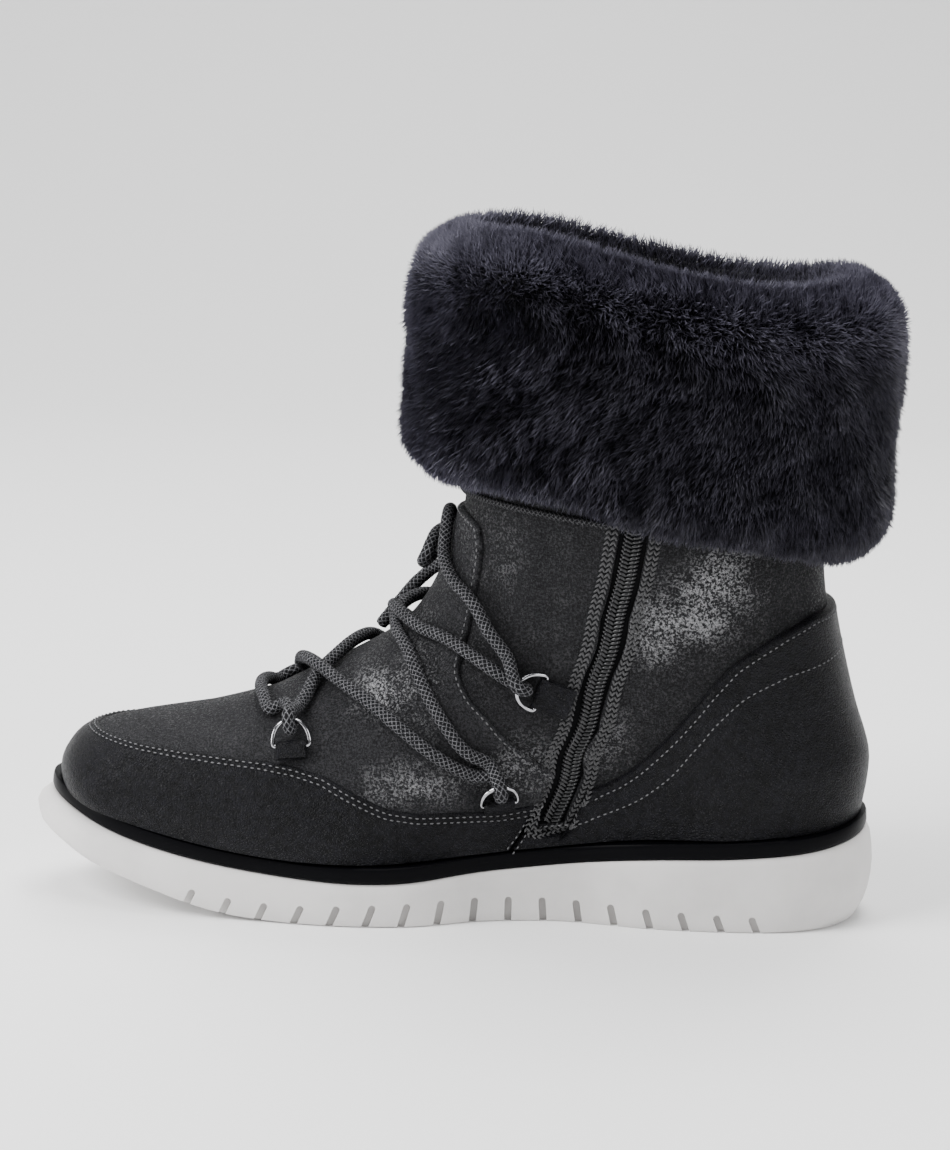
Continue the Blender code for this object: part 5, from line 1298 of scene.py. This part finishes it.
class BootSettings(bpy.types.PropertyGroup):
    """Sizes and colours that can be changed."""

    lace_thickness: FloatProperty(name="Lace Thickness", description="Diameter of the round lace",
                                  default=0.0044, unit="LENGTH")
    ring_wire: FloatProperty(name="Ring Wire", description="Diameter of the D-rings' wire",
                             default=0.0014, unit="LENGTH")
    stitch_pitch: FloatProperty(name="Stitch Pitch", description="Distance between stitches",
                                default=0.0023, unit="LENGTH")
    stitch_length: FloatProperty(name="Stitch Length", description="Length of a stitch",
                                 default=0.0013, unit="LENGTH")
    thread: FloatProperty(name="Thread", description="Thickness of the sewing thread",
                          default=0.0005, unit="LENGTH")
    zip_pitch: FloatProperty(name="Zip Pitch", description="Distance between the coil's turns",
                             default=0.00145, unit="LENGTH")
    fur_length: FloatProperty(name="Fur Length", description="Length of the longest fibres",
                              default=0.0062, unit="LENGTH")
    fur_density: IntProperty(name="Fur Density", description="Fibres on a square metre of the near side",
                             default=5500000)
    suede: FloatVectorProperty(name="Suede", description="Colour of the suede", subtype="COLOR",
                               default=(0.013, 0.013, 0.0145))
    leather: FloatVectorProperty(name="Leather", description="Colour of the guards", subtype="COLOR",
                                 default=(0.0034, 0.0034, 0.0046))
    rubber: FloatVectorProperty(name="Rubber", description="Colour of the outsole", subtype="COLOR",
                                default=(0.66, 0.645, 0.635))
    welt: FloatVectorProperty(name="Welt", description="Colour of the welt", subtype="COLOR",
                              default=(0.0012, 0.0012, 0.0018))
    lace_dark: FloatVectorProperty(name="Lace", description="Dark yarn of the lace", subtype="COLOR",
                                   default=(0.0030, 0.0030, 0.0040))
    lace_fleck: FloatVectorProperty(name="Lace Fleck", description="Light yarn of the lace", subtype="COLOR",
                                    default=(0.15, 0.15, 0.16))
    stitching: FloatVectorProperty(name="Stitching", description="Colour of the thread", subtype="COLOR",
                                   default=(0.09, 0.09, 0.095))
    # The root colour is partly the fibres' own and partly painted shade deep in the pile.
    fur_root_and_shade: FloatVectorProperty(name="Fur Root", description="Colour of the fur's depth", subtype="COLOR",
                                  default=(0.0015, 0.0015, 0.0025))
    fur_tip: FloatVectorProperty(name="Fur Tip", description="Colour of the fur's tips", subtype="COLOR",
                                 default=(0.092, 0.088, 0.120))


class BootOperator(bpy.types.Operator):
    """Shared by the boot's operators."""

    bl_options = {"REGISTER", "UNDO"}

    @property
    def boot(self):
        return bpy.context.scene.snow_boot


class BOOT_OT_stage(BootOperator):
    """Make the pale floor, the soft lights and the camera"""

    bl_idname = "boot.stage"
    bl_label = "Stage"

    def execute(self, context):
        scene = context.scene
        floor = bpy.data.meshes.new("floor")
        sweep = [(-3.0, 0.0), (1.0, 0.0)]
        sweep += [(1.0 + math.sin(turn), 1.0 - math.cos(turn)) for turn in np.linspace(0.1, math.pi / 2, 16)]
        sweep += [(2.0, 4.0)]
        points = [(x, y, z) for x in (-5, 5) for y, z in sweep]
        count = len(sweep)
        floor.from_pydata(points, [], [(i + 1, i, i + count, i + count + 1) for i in range(count - 1)])
        floor.shade_smooth()
        finish = Finish("floor")
        floor.materials.append(finish.set(Base_Color=(0.93, 0.93, 0.93, 1), Roughness=0.9,
                                          Specular_IOR_Level=0.1))
        make_object("floor", floor)
        world = bpy.data.worlds.new("studio")
        world.use_nodes = True
        world.node_tree.nodes["Background"].inputs[0].default_value = (1, 1, 1, 1)
        world.node_tree.nodes["Background"].inputs[1].default_value = 0.30
        scene.world = world
        lights = (
            ("key", (-1.0, -0.62, 1.15), (-0.02, 0.0, 0.10), 0.7, 29.0),
            ("fill", (1.1, -0.8, 0.75), (0.03, 0.0, 0.10), 0.7, 8.0),
            ("side", (-1.3, -0.35, 0.32), (-0.02, 0.0, 0.14), 0.5, 11.0),
            ("top", (0.0, 0.1, 1.5), (0.0, 0.0, 0.12), 1.2, 25.0),
            ("back", (0.2, 0.8, 1.3), (0.0, 0.0, 0.12), 0.8, 12.0),
        )
        for name, spot, aim, size, power in lights:
            data = bpy.data.lights.new(name, "AREA")
            data.size = size
            data.energy = power
            lamp = bpy.data.objects.new(name, data)
            lamp.location = spot
            lamp.rotation_euler = (Vector(aim) - Vector(spot)).to_track_quat("-Z", "Y").to_euler()
            scene.collection.objects.link(lamp)
        data = bpy.data.cameras.new("camera")
        data.sensor_width = 36.0
        data.lens = 3603.6 / 1150 * 36.0
        data.clip_end = 20
        camera = bpy.data.objects.new("camera", data)
        eye = Vector((0.0037 + SOLE_MIDDLE, -1.2, 0.365))
        forward = (Vector((0.0037 + SOLE_MIDDLE, 0, 0.1133)) - eye).normalized()
        right = forward.cross(Vector((0, 0, 1))).normalized()
        up = right.cross(forward)
        roll = math.radians(2)
        side = right * math.cos(roll) + up * math.sin(roll)
        top = up * math.cos(roll) - right * math.sin(roll)
        matrix = Matrix((side, top, -forward)).transposed().to_4x4()
        matrix.translation = eye
        camera.matrix_world = matrix
        scene.collection.objects.link(camera)
        scene.camera = camera
        return {"FINISHED"}


class BOOT_OT_laces(BootOperator):
    """Make the braided lace with its bow"""

    bl_idname = "boot.laces"
    bl_label = "Laces"

    def execute(self, context):
        boot = self.boot
        thick = boot.lace_thickness
        finish = cord_finish("lace_cord", boot.lace_dark, boot.lace_fleck, 7, 0.0019)
        weave = braid(7, 0.0019, 0.10)
        over = {"lace_lower_over": "lace_lower_crossing", "lace_upper_over": "lace_upper_crossing"}
        for name, rows in LACES.items():
            start, end = [ring_turn(*ring, boot.ring_wire, thick) if ring else ()
                          for ring in LACE_RINGS[name]]
            piece = tube(name + "_cord", route(rows, start, end), thick / 2, finish, 24, weave,
                         rounded=(not start, not end))
            declare(piece, "cord", over.get(name, name))
        knot = self.knot(finish, weave)
        for name, rows in BOW.items():
            path = route(rows)
            piece = declare(tube(name + "_cord", path, thick / 2, finish, 24, weave), "cord", name)
            [knot] if name == "lace_loop_front" else []
        return {"FINISHED"}

    def knot(self, finish, weave):
        """The knot: one closed, twisted turn of cord, in place of the tied one."""
        turn, level = place(1, y=KNOT.y * MM, z=KNOT.z * MM)
        centre = skin(turn, level, LACE_LIFT + KNOT.lift * MM)[0]
        out = normals(np.array([turn]), np.array([level]))[0]
        across = unit(np.cross([0, 0, 1.0], out))
        up = np.cross(out, across)
        at = np.linspace(0, 2 * math.pi, 90, endpoint=False)
        path = (centre + np.outer(np.cos(at), across) * 3.1 * MM + np.outer(np.sin(at), up) * 2.1 * MM
                + np.outer(np.sin(2 * at), out) * 1.5 * MM)
        piece = tube("lace_knot_cord", path, self.boot.lace_thickness * 0.47, finish, 24, weave, closed=True)
        return declare(piece, "cord", "lace_knot")


class BOOT_OT_sole(BootOperator):
    """Make the grooved outsole, the welt and the footbed's finish"""

    bl_idname = "boot.sole"
    bl_label = "Sole"

    def execute(self, context):
        boot = self.boot
        rubber = rubber_finish("outsole_rubber", boot.rubber, 0.52, 0.6, 0.15)
        outsole = sole_layer("outsole_rubber", OUTSOLE_LEVELS, 90, tread, outsole_top, rubber)
        grooves = groove_cutters()
        cut = outsole.modifiers.new("grooves", "BOOLEAN")
        cut.operation = "DIFFERENCE"
        cut.object = grooves
        cut.solver = "EXACT"
        cut.use_self = True
        apply_modifiers(outsole)
        bpy.data.objects.remove(grooves, do_unlink=True)
        outsole.data.shade_smooth()
        outsole.data.set_sharp_from_angle(angle=math.radians(28))
        declare(outsole, "white_rubber", "outsole")
        black = rubber_finish("welt_rubber", boot.welt, 0.34, 0.0, 0.05)
        welt = sole_layer("welt_rubber", WELT_LEVELS, 110, lambda x: outsole_top(x) + GAP,
                          lambda x: outsole_top(x) + GAP + WELT_THICKNESS, black)
        declare(welt, "black_rubber", "midsole")
        footbed = fleece_finish("footbed_fleece", (0.03, 0.03, 0.036))
        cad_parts["insole"].data.materials.clear()
        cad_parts["insole"].data.materials.append(footbed)
        return {"FINISHED"}


class BOOT_OT_upper(BootOperator):
    """Make the hollow upper of crackled suede with its lining"""

    bl_idname = "boot.upper"
    bl_label = "Upper"

    def execute(self, context):
        suede = suede_finish("quarter_suede", self.boot.suede, 0.06)
        lining = fleece_finish("lining_fleece", (0.03, 0.03, 0.036))
        declare(upper_piece([suede, lining]), "suede", "upper")
        return {"FINISHED"}


class BOOT_OT_panels(BootOperator):
    """Make the front panel, the mudguard and the counter, with their stitching"""

    bl_idname = "boot.panels"
    bl_label = "Panels"

    def execute(self, context):
        boot = self.boot
        # The front panel's suede is the quarters' suede made 1.4 times lighter: painted light from above.
        suede = suede_finish("vamp_suede", tuple(1.4 * share for share in boot.suede), 0.06)
        leather = leather_finish("guard_leather", boot.leather)
        vamp, edges = panel("vamp_suede", vamp_spots(), 70, 90, ("start", "end", "top"), VAMP_FACE,
                            (VAMP_INSET,), suede)
        declare(vamp, "suede", "vamp")
        sides = np.concatenate([edges["start"], edges["top"][1:], edges["end"][::-1][1:]])

        def on_vamp(points):
            x = run_of(points[:, 0])
            return np.where(x < VAMP_REST, VAMP_FACE - 0.0004, 0.0001)

        guard, guard_edges = panel("mudguard_leather", mudguard_spots(), 150, 14, ("start", "end", "top"),
                                   LEATHER_FACE, GUARD_ROWS, leather, on_vamp)
        declare(guard, "leather", "mudguard")
        counter, counter_edges = panel("counter_leather", counter_spots(), 150, 22, ("start", "end", "top"),
                                       LEATHER_FACE, (COUNTER_INSET,), leather)
        declare(counter, "leather", "counter")
        self.sew(sides, guard_edges, counter_edges)
        return {"FINISHED"}

    def sew(self, vamp_edge, guard, counter):
        """Every row of stitches on the panels."""
        boot = self.boot
        rows, outs = [], []

        def beside(line, distance, height, turned=1.0):
            points = resample(line, 0.001)
            spots = np.array([nearest(point) for point in points])
            out = normals(spots[:, 0], spots[:, 1])
            ahead = unit(np.gradient(points, axis=0))
            rows.append(points + np.cross(out, ahead) * distance * turned + out * height)
            outs.append(out)

        grid_turns, grid_levels = np.meshgrid(np.linspace(-math.pi, math.pi, 400), np.linspace(0, 11.5, 240))
        grid_turns, grid_levels = grid_turns.ravel(), grid_levels.ravel()
        grid = skin(grid_turns, grid_levels)

        def nearest(point):
            index = ((grid - point) ** 2).sum(axis=1).argmin()
            return grid_turns[index], grid_levels[index]

        for distance in GUARD_ROWS:
            beside(guard["top"], distance, LEATHER_FACE)
        top = resample(counter["top"], 0.0008)
        clear = (top[:, 1] > 0) | (run_of(top[:, 0]) > NOTCH_BACK)
        beside(top[clear], COUNTER_INSET, LEATHER_FACE, -1.0)
        row = COUNTER_ROW[:-2]
        back = np.array([[-math.pi, level_at(np.array([math.pi]), COUNTER_ROW[-1].rise * INSTEP_HEIGHT)[0]]])
        spots = np.concatenate([line_spots(row, -1), back])
        other = line_spots(row, 1)[::-1]
        other[:, 0] -= 2 * math.pi
        spots = np.concatenate([spots, other])
        beside(skin(*through(spots, 400)), 0.0, LEATHER_FACE)
        for end in ("start", "end"):
            beside(guard[end], GUARD_ROWS[0], LEATHER_FACE, 1.0 if end == "end" else -1.0)
            beside(counter[end], GUARD_ROWS[0], LEATHER_FACE, -1.0 if end == "end" else 1.0)
        beside(vamp_edge, VAMP_INSET, VAMP_FACE)
        tree, names = stitch_tree("stitches")
        thread = thread_finish("thread", boot.stitching)
        piece = grow("panel_stitches", path_base(rows, outs), tree, names, {
            "Pitch": boot.stitch_pitch, "Length": boot.stitch_length, "Thickness": boot.thread,
            "Slant": 0.0, "Aside": 0.0, "Shift": 0.0, "Material": thread})
        declare(piece, "cord")


class BOOT_OT_zip(BootOperator):
    """Make the zip: woven tape, closed coil and the braided rows sewn round it"""

    bl_idname = "boot.zip"
    bl_label = "Zip"

    def execute(self, context):
        boot = self.boot
        points, ahead, out = zip_places()
        across = np.cross(ahead, out)
        nylon = nylon_finish("zip_nylon", (0.007, 0.007, 0.008), 0.2)
        # The tape's colour is its own black, darkened further as painted shade in the slot beside the coil.
        tape = nylon_finish("zip_tape", (0.0015, 0.0015, 0.002), 0.8)
        half = ZIP_SLOT / 2 + 0.0004
        offsets = np.linspace(-half, half, 13)
        floor = -ZIP_SLOT_DEPTH + 0.0005 + 0.0004 * np.exp(-(offsets / 0.0030) ** 4)
        step = slice(None, None, 3)
        face = (points[step, None] + across[step, None] * offsets[None, :, None]
                + out[step, None] * floor[None, :, None])
        back = face - out[step, None] * 0.0004
        declare(closed_sheet("zip_tape", face, back, [tape]), "nylon", "zip")
        tree, names = stitch_tree("coil")
        line = points + out * (0.00035 - 0.0004)
        for name, aside, shift, slant in (("zip_coil_front", 0.00150, 0.0, 64),
                                          ("zip_coil_back", -0.00150, 0.5, 116)):
            piece = grow(name, path_base([line], [out]), tree, names, {
                "Pitch": boot.zip_pitch, "Length": 0.0040, "Thickness": 0.00125,
                "Slant": math.radians(slant), "Aside": aside, "Shift": shift * boot.zip_pitch + 0.0008,
                "Material": nylon})
            declare(piece, "nylon", "zip")
        thread = thread_finish("zip_thread", (0.05, 0.05, 0.053))
        rows, outs = [], []
        for side in (-1, 1):
            rows.append(points + across * side * 0.0022 + out * 0.0005)
            outs.append(out)
        piece = grow("zip_coil_thread", path_base(rows, outs), tree, names, {
            "Pitch": boot.zip_pitch, "Length": 0.0008, "Thickness": 0.0004, "Slant": 0.0, "Aside": 0.0,
            "Shift": 0.0008, "Material": thread})
        declare(piece, "cord")
        self.frame_rows()
        return {"FINISHED"}

    def frame_rows(self):
        """The braided double rows that frame the slot, down both sides and round its foot."""
        reach = zip_sheet(np.zeros(1), np.zeros(1))[2]
        tree, names = stitch_tree("chain")
        thread = thread_finish("chain_thread", (0.030, 0.030, 0.032))
        line = ZIP_NOTCH + COUNTER_TOP[4:]
        runs, rises = [row.run for row in line], [row.rise for row in line]
        for number, distance in enumerate((0.0014, 0.0035)):
            half = ZIP_SLOT / 2 + distance
            up = np.arange(0.001, reach, 0.0012)
            turn = np.linspace(0, math.pi, 40)
            along = np.concatenate([up[::-1], -np.sin(turn) * (distance + 0.0006), up])
            aside = np.concatenate([np.full(len(up), -half), -np.cos(turn) * half, np.full(len(up), half)])
            row, way = zip_sheet(along, aside)[:2]
            edge = INSTEP_HEIGHT * np.interp(run_of(row[:, 0]), runs, rises)
            sewn = np.clip((edge - row[:, 2]) / 0.0012 + 0.5, 0, 1) * LEATHER_FACE
            row = row + way * (0.0003 + sewn)[:, None]
            for slant, aside in ((34, 0.00042), (-34, -0.00042)):
                piece = grow(f"zip_chain_{number}_{'out' if slant > 0 else 'in'}", path_base([row], [way]),
                             tree, names, {"Pitch": 0.0019, "Length": 0.0021, "Thickness": 0.0007,
                                           "Slant": math.radians(slant), "Aside": aside, "Shift": 0.0,
                                           "Material": thread})
                declare(piece, "cord")


class BOOT_OT_rings(BootOperator):
    """Make the steel D-rings on their leather tabs"""

    bl_idname = "boot.rings"
    bl_label = "Rings"

    def execute(self, context):
        steel = steel_finish("ring_steel")
        leather = leather_finish("tab_leather", self.boot.leather)
        for spot in RING_SPOTS:
            self.ring(spot, steel, leather)
        return {"FINISHED"}

    def ring(self, spot, steel, leather):
        """One ring with its folded tab."""
        wire = self.boot.ring_wire
        fold = wire / 2 + GAP + TAB_THICKNESS / 2
        bar, reach, across, away = ring_frame(spot, ring_height(spot, wire))
        lifted = unit(reach * math.cos(RING_TILT) + away * math.sin(RING_TILT))
        at = np.linspace(0, math.pi, 60)
        arc = (bar + np.outer(np.cos(at), across) * RING_WIDTH / 2
               + np.outer(np.sin(at) ** 0.8, lifted) * RING_HEIGHT)
        straight = bar + np.outer(np.linspace(-1, 1, 24)[1:-1], across) * RING_WIDTH / 2
        path = np.concatenate([arc, straight])
        for _ in range(3):
            path = (np.roll(path, 1, 0) + 2 * path + np.roll(path, -1, 0)) / 4
        ring = tube("ring_" + spot.name, path, wire / 2, steel, 14, closed=True)
        declare(ring, "steel", "d_ring_" + spot.name)
        meet = -fold + TAB_THICKNESS + GAP
        line = [(-spot.length, -fold), (-0.6 * spot.length, -fold)]
        line += [(fold * math.sin(turn), -fold * math.cos(turn)) for turn in np.linspace(0, math.pi, 12)]
        line += [(-0.3 * spot.length - fold / 2, 0.7 * fold),
                 (-0.6 * spot.length - fold / 2, meet + 0.25 * fold), (-spot.length, meet)]
        line = resample(np.array(line), 0.0004)
        ways = unit(np.gradient(line, axis=0))
        sides = np.stack([-ways[:, 1], ways[:, 0]], axis=-1)
        shares = np.array([-1, -0.97, -0.9, -0.6, -0.2, 0.2, 0.6, 0.9, 0.97, 1])
        thin = np.array([0.45, 0.8, 1, 1, 1, 1, 1, 1, 0.8, 0.45]) * TAB_THICKNESS / 2
        grids = []
        for turned in (1, -1):
            flat = line[:, None] + turned * sides[:, None] * thin[None, :, None]
            grids.append(bar + flat[..., :1] * reach + flat[..., 1:] * away
                         + (shares * TAB_WIDTH / 2)[None, :, None] * across)
        tab = closed_sheet("tab_" + spot.name + "_leather", *grids, [leather])
        declare(tab, "leather", "tab_" + spot.name)


class BOOT_OT_cuff(BootOperator):
    """Make the fur cuff and the corded seam under it"""

    bl_idname = "boot.cuff"
    bl_label = "Cuff"

    def execute(self, context):
        boot = self.boot
        cord = cord_finish("seam_cord", (0.006, 0.006, 0.007), (0.10, 0.10, 0.105), 4, 0.0016)
        spots = np.concatenate([line_spots(SEAM_LINE, -1)[::-1], line_spots(SEAM_LINE, 1)[1:]])
        path = resample(skin(*through(spots, 260), CUFF_SEAM / 2), 0.0004)
        seam = tube("cuff_seam_cord", path, CUFF_SEAM / 2, cord, 18, braid(4, 0.0016, 0.35))
        declare(seam, "cord", "cuff_seam")
        self.fur(boot)
        return {"FINISHED"}

    def fur(self, boot):
        """The cuff's knit in four parts and the fibres on each."""
        pile = pile_finish("fur_pile", boot.fur_root_and_shade, boot.fur_tip)
        knit = fleece_finish("fur_knit", (0.003, 0.003, 0.004))
        fibre = self.fibre()
        tree, names = fur_tree()
        turns = np.concatenate([-np.linspace(0, math.pi, 111), np.linspace(math.pi, 0, 111)[1:-1]])
        grid, pile_share, comb, rim, cover = self.cuff_grid(turns)
        rows, columns = grid.shape[:2]
        knit_piece = solid("cuff_knit", grid.reshape(-1, 3), grid_quads(rows, columns, True), [knit], 80)
        self.out_facing(knit_piece)
        declare(knit_piece, "fur", "fur_cuff")
        sectors = (("fur_inner_front", 0, 62, 1.0), ("fur_inner_back", 62, 111, 1.0),
                   ("fur_outer_back", 111, 160, 0.4), ("fur_outer_front", 160, columns, 0.4))
        for seed, (name, first, last, thick) in enumerate(sectors):
            index = np.arange(first, last + 1) % columns
            part = grid[:, index]
            base = solid(name + "_base", part.reshape(-1, 3), grid_quads(rows, len(index)), [], 80, False)
            for title, values, kind, form in (("pile", pile_share[:, index], "FLOAT", "value"),
                                              ("cover", cover[:, index], "FLOAT", "value"),
                                              ("rim", rim[:, index], "FLOAT", "value"),
                                              ("comb", comb[:, index], "FLOAT_VECTOR", "vector")):
                kept = base.data.attributes.new(title, kind, "POINT")
                kept.data.foreach_set(form, values.astype(np.float32).ravel())
            self.out_facing(base)
            density = boot.fur_density * thick * 1.0
            piece = grow(name, base, tree, names, {
                "Density": density, "Length": boot.fur_length, "Lean": 0.5, "Clump Size": 0.0045,
                "Clump Pull": 1.1, "Seed": seed + 1, "Fibre": fibre, "Material": pile})
            declare(piece, "fur", "fur_cuff")
        bpy.data.objects.remove(fibre, do_unlink=True)

    def out_facing(self, piece):
        """Turns a base's faces away from the wall they lie on."""
        mesh = piece.data
        face = mesh.polygons[len(mesh.polygons) // 3]
        middle = Vector((0.06, 0.0, face.center.z))
        if (face.center - middle).dot(face.normal) < 0:
            mesh.flip_normals()

    def cuff_grid(self, turns):
        """The knit's points with the fibres' length, comb and painted light at each."""
        front = np.maximum(0, np.cos(turns)) ** 2
        rear = np.maximum(0, -np.cos(turns)) ** 2
        depth = FUR_SIDE + (FUR_FRONT - FUR_SIDE) * front + (FUR_BACK - FUR_SIDE) * rear
        run = (1 - np.cos(turns)) / 2
        hem = CUFF_HEM_HEIGHT * read_line(CUFF_HEM, run)
        top = CUFF_TOP_HEIGHT * read_line(CUFF_TOP, run)
        rim_z = skin_points(turns, np.full(len(turns), float(COLLAR)))[:, 2]
        rises, depths = through(CUFF_SECTION, 70)
        rows = []
        top = top - 0.003 * np.maximum(0, np.sin(turns))
        lift = 0.0046 * np.clip((run - 0.42) / 0.25, 0, 1)
        for rise, share in zip(rises, depths):
            z = hem + rise * (top - hem) + lift * max(0.0, 1 - rise / 0.35)
            out = np.maximum(share * depth - 0.0058 * min(1.0, share / 0.5), 0.0004)
            out = out + 0.0018 * front * max(0.0, 1 - abs(rise - 0.25) / 0.25)
            lump = (np.sin(turns * 9 + rise * 7) * np.sin(rise * 17 + turns * 3)
                    + 0.6 * np.sin(turns * 17 - rise * 11))
            rows.append(self.shaft(turns, z, out + 0.0009 * lump * min(1.0, share)))
        inner = -UPPER_WALL - PANEL_EASE - FUR_LINING * 0.5
        crown = hem + 0.945 * (top - hem)
        for share in np.linspace(0.06, 1, 12):
            z = crown - share * (crown - rim_z + CUFF_SKIRT)
            rows.append(self.shaft(turns, z, np.full(len(turns), inner * min(1.0, share * 5))))
        grid = np.array(rows)
        count = len(rises)
        total = len(grid)
        pile = np.ones(total)
        pile[:8] = np.linspace(0.35, 0.9, 8)
        pile[count:] = np.linspace(0.75, 0.5, total - count)
        # Painted light on the fibres: lighter toward the cuff's top and on the rows that turn in over the
        # collar, where light falls from above, and on the toe's side, which faces the key light.
        rim = np.zeros((total, len(turns)))
        rim[:count] = np.clip((rises - 0.72) / 0.18, 0, 1)[:, None]
        rim[count:] = 0.5
        rim = np.maximum(rim, 0.5 * np.maximum(0, np.cos(turns)) ** 1.5)
        slant = np.interp(np.arange(total), [0, 8, 18, 30, 40, 46, 52, 60, 70, total],
                          [0.0, 0.1, -0.3, -0.8, -0.5, 0.3, 0.2, -0.3, 0.0, 0.0])
        fall = np.interp(np.arange(total), [0, 10, 44, 50, 56, 62, 70, 74, total],
                         [-0.5, -1, -0.9, -0.3, 0.5, 0.9, 0.7, -0.2, -0.8])
        around = unit(np.roll(grid, -1, 1) - np.roll(grid, 1, 1))
        flow = np.sin(turns * 5)[None, :] * 0.18
        comb = around * (slant[:, None] + flow)[..., None] + np.array([0, 0, 1.0]) * fall[:, None, None]
        one = np.ones(len(turns))
        cover = np.ones(total)
        cover[count - 16:count + 4] = 1.7
        cover[count + 4:] = np.linspace(1.0, 0.1, total - count - 4)
        return grid, np.outer(pile, one), comb, rim, np.outer(cover, one)

    def shaft(self, turns, z, out):
        """Points beside the shaft at heights, carried straight up above the collar."""
        low = np.zeros(len(turns))
        levels = halve(low, low + COLLAR, lambda at: skin_points(turns, at)[:, 2] < z)
        points = skin_points(turns, levels)
        away = normals(turns, np.minimum(levels, COLLAR - 0.1))
        away[:, 2] = 0
        points[:, 2] = z
        return points + unit(away) * out[:, None]

    def fibre(self):
        """One fibre: a thin blade, bent forwards, that narrows to its tip."""
        width = 0.024
        mesh = bpy.data.meshes.new("fibre")
        mesh.from_pydata([(0, -width, 0), (0, width, 0), (0.12, width * 0.6, 0.55), (0.32, 0, 0.94)], [],
                         [(0, 1, 2), (0, 2, 3)])
        mesh.shade_smooth()
        kept = mesh.attributes.new("along", "FLOAT", "POINT")
        kept.data.foreach_set("value", [0.0, 0.0, 0.55, 1.0])
        return make_object("fibre", mesh)


class BOOT_PT_panel(bpy.types.Panel):
    """Shows the boot's settings and the buttons that make its pieces"""

    bl_label = "Snow Boot"
    bl_idname = "BOOT_PT_panel"
    bl_space_type = "VIEW_3D"
    bl_region_type = "UI"
    bl_category = "Snow Boot"

    def draw(self, context):
        boot = context.scene.snow_boot
        for name in BootSettings.__annotations__:
            self.layout.prop(boot, name)
        for operator in OPERATORS:
            self.layout.operator(operator.bl_idname)


OPERATORS = (BOOT_OT_stage, BOOT_OT_laces, BOOT_OT_sole, BOOT_OT_upper, BOOT_OT_panels, BOOT_OT_zip,
             BOOT_OT_rings, BOOT_OT_cuff)
CLASSES = (BootSettings, *OPERATORS, BOOT_PT_panel)


def register():
    for item in CLASSES:
        bpy.utils.register_class(item)
    bpy.types.Scene.snow_boot = PointerProperty(type=BootSettings)


def unregister():
    del bpy.types.Scene.snow_boot
    for item in reversed(CLASSES):
        bpy.utils.unregister_class(item)


def main():
    """Makes the whole boot."""
    register()
    bpy.ops.boot.stage()
    bpy.ops.boot.laces()
    bpy.ops.boot.sole()
    bpy.ops.boot.upper()
    bpy.ops.boot.panels()
    bpy.ops.boot.zip()
    bpy.ops.boot.rings()
    bpy.ops.boot.cuff()


if __name__ == "__main__":
    main()
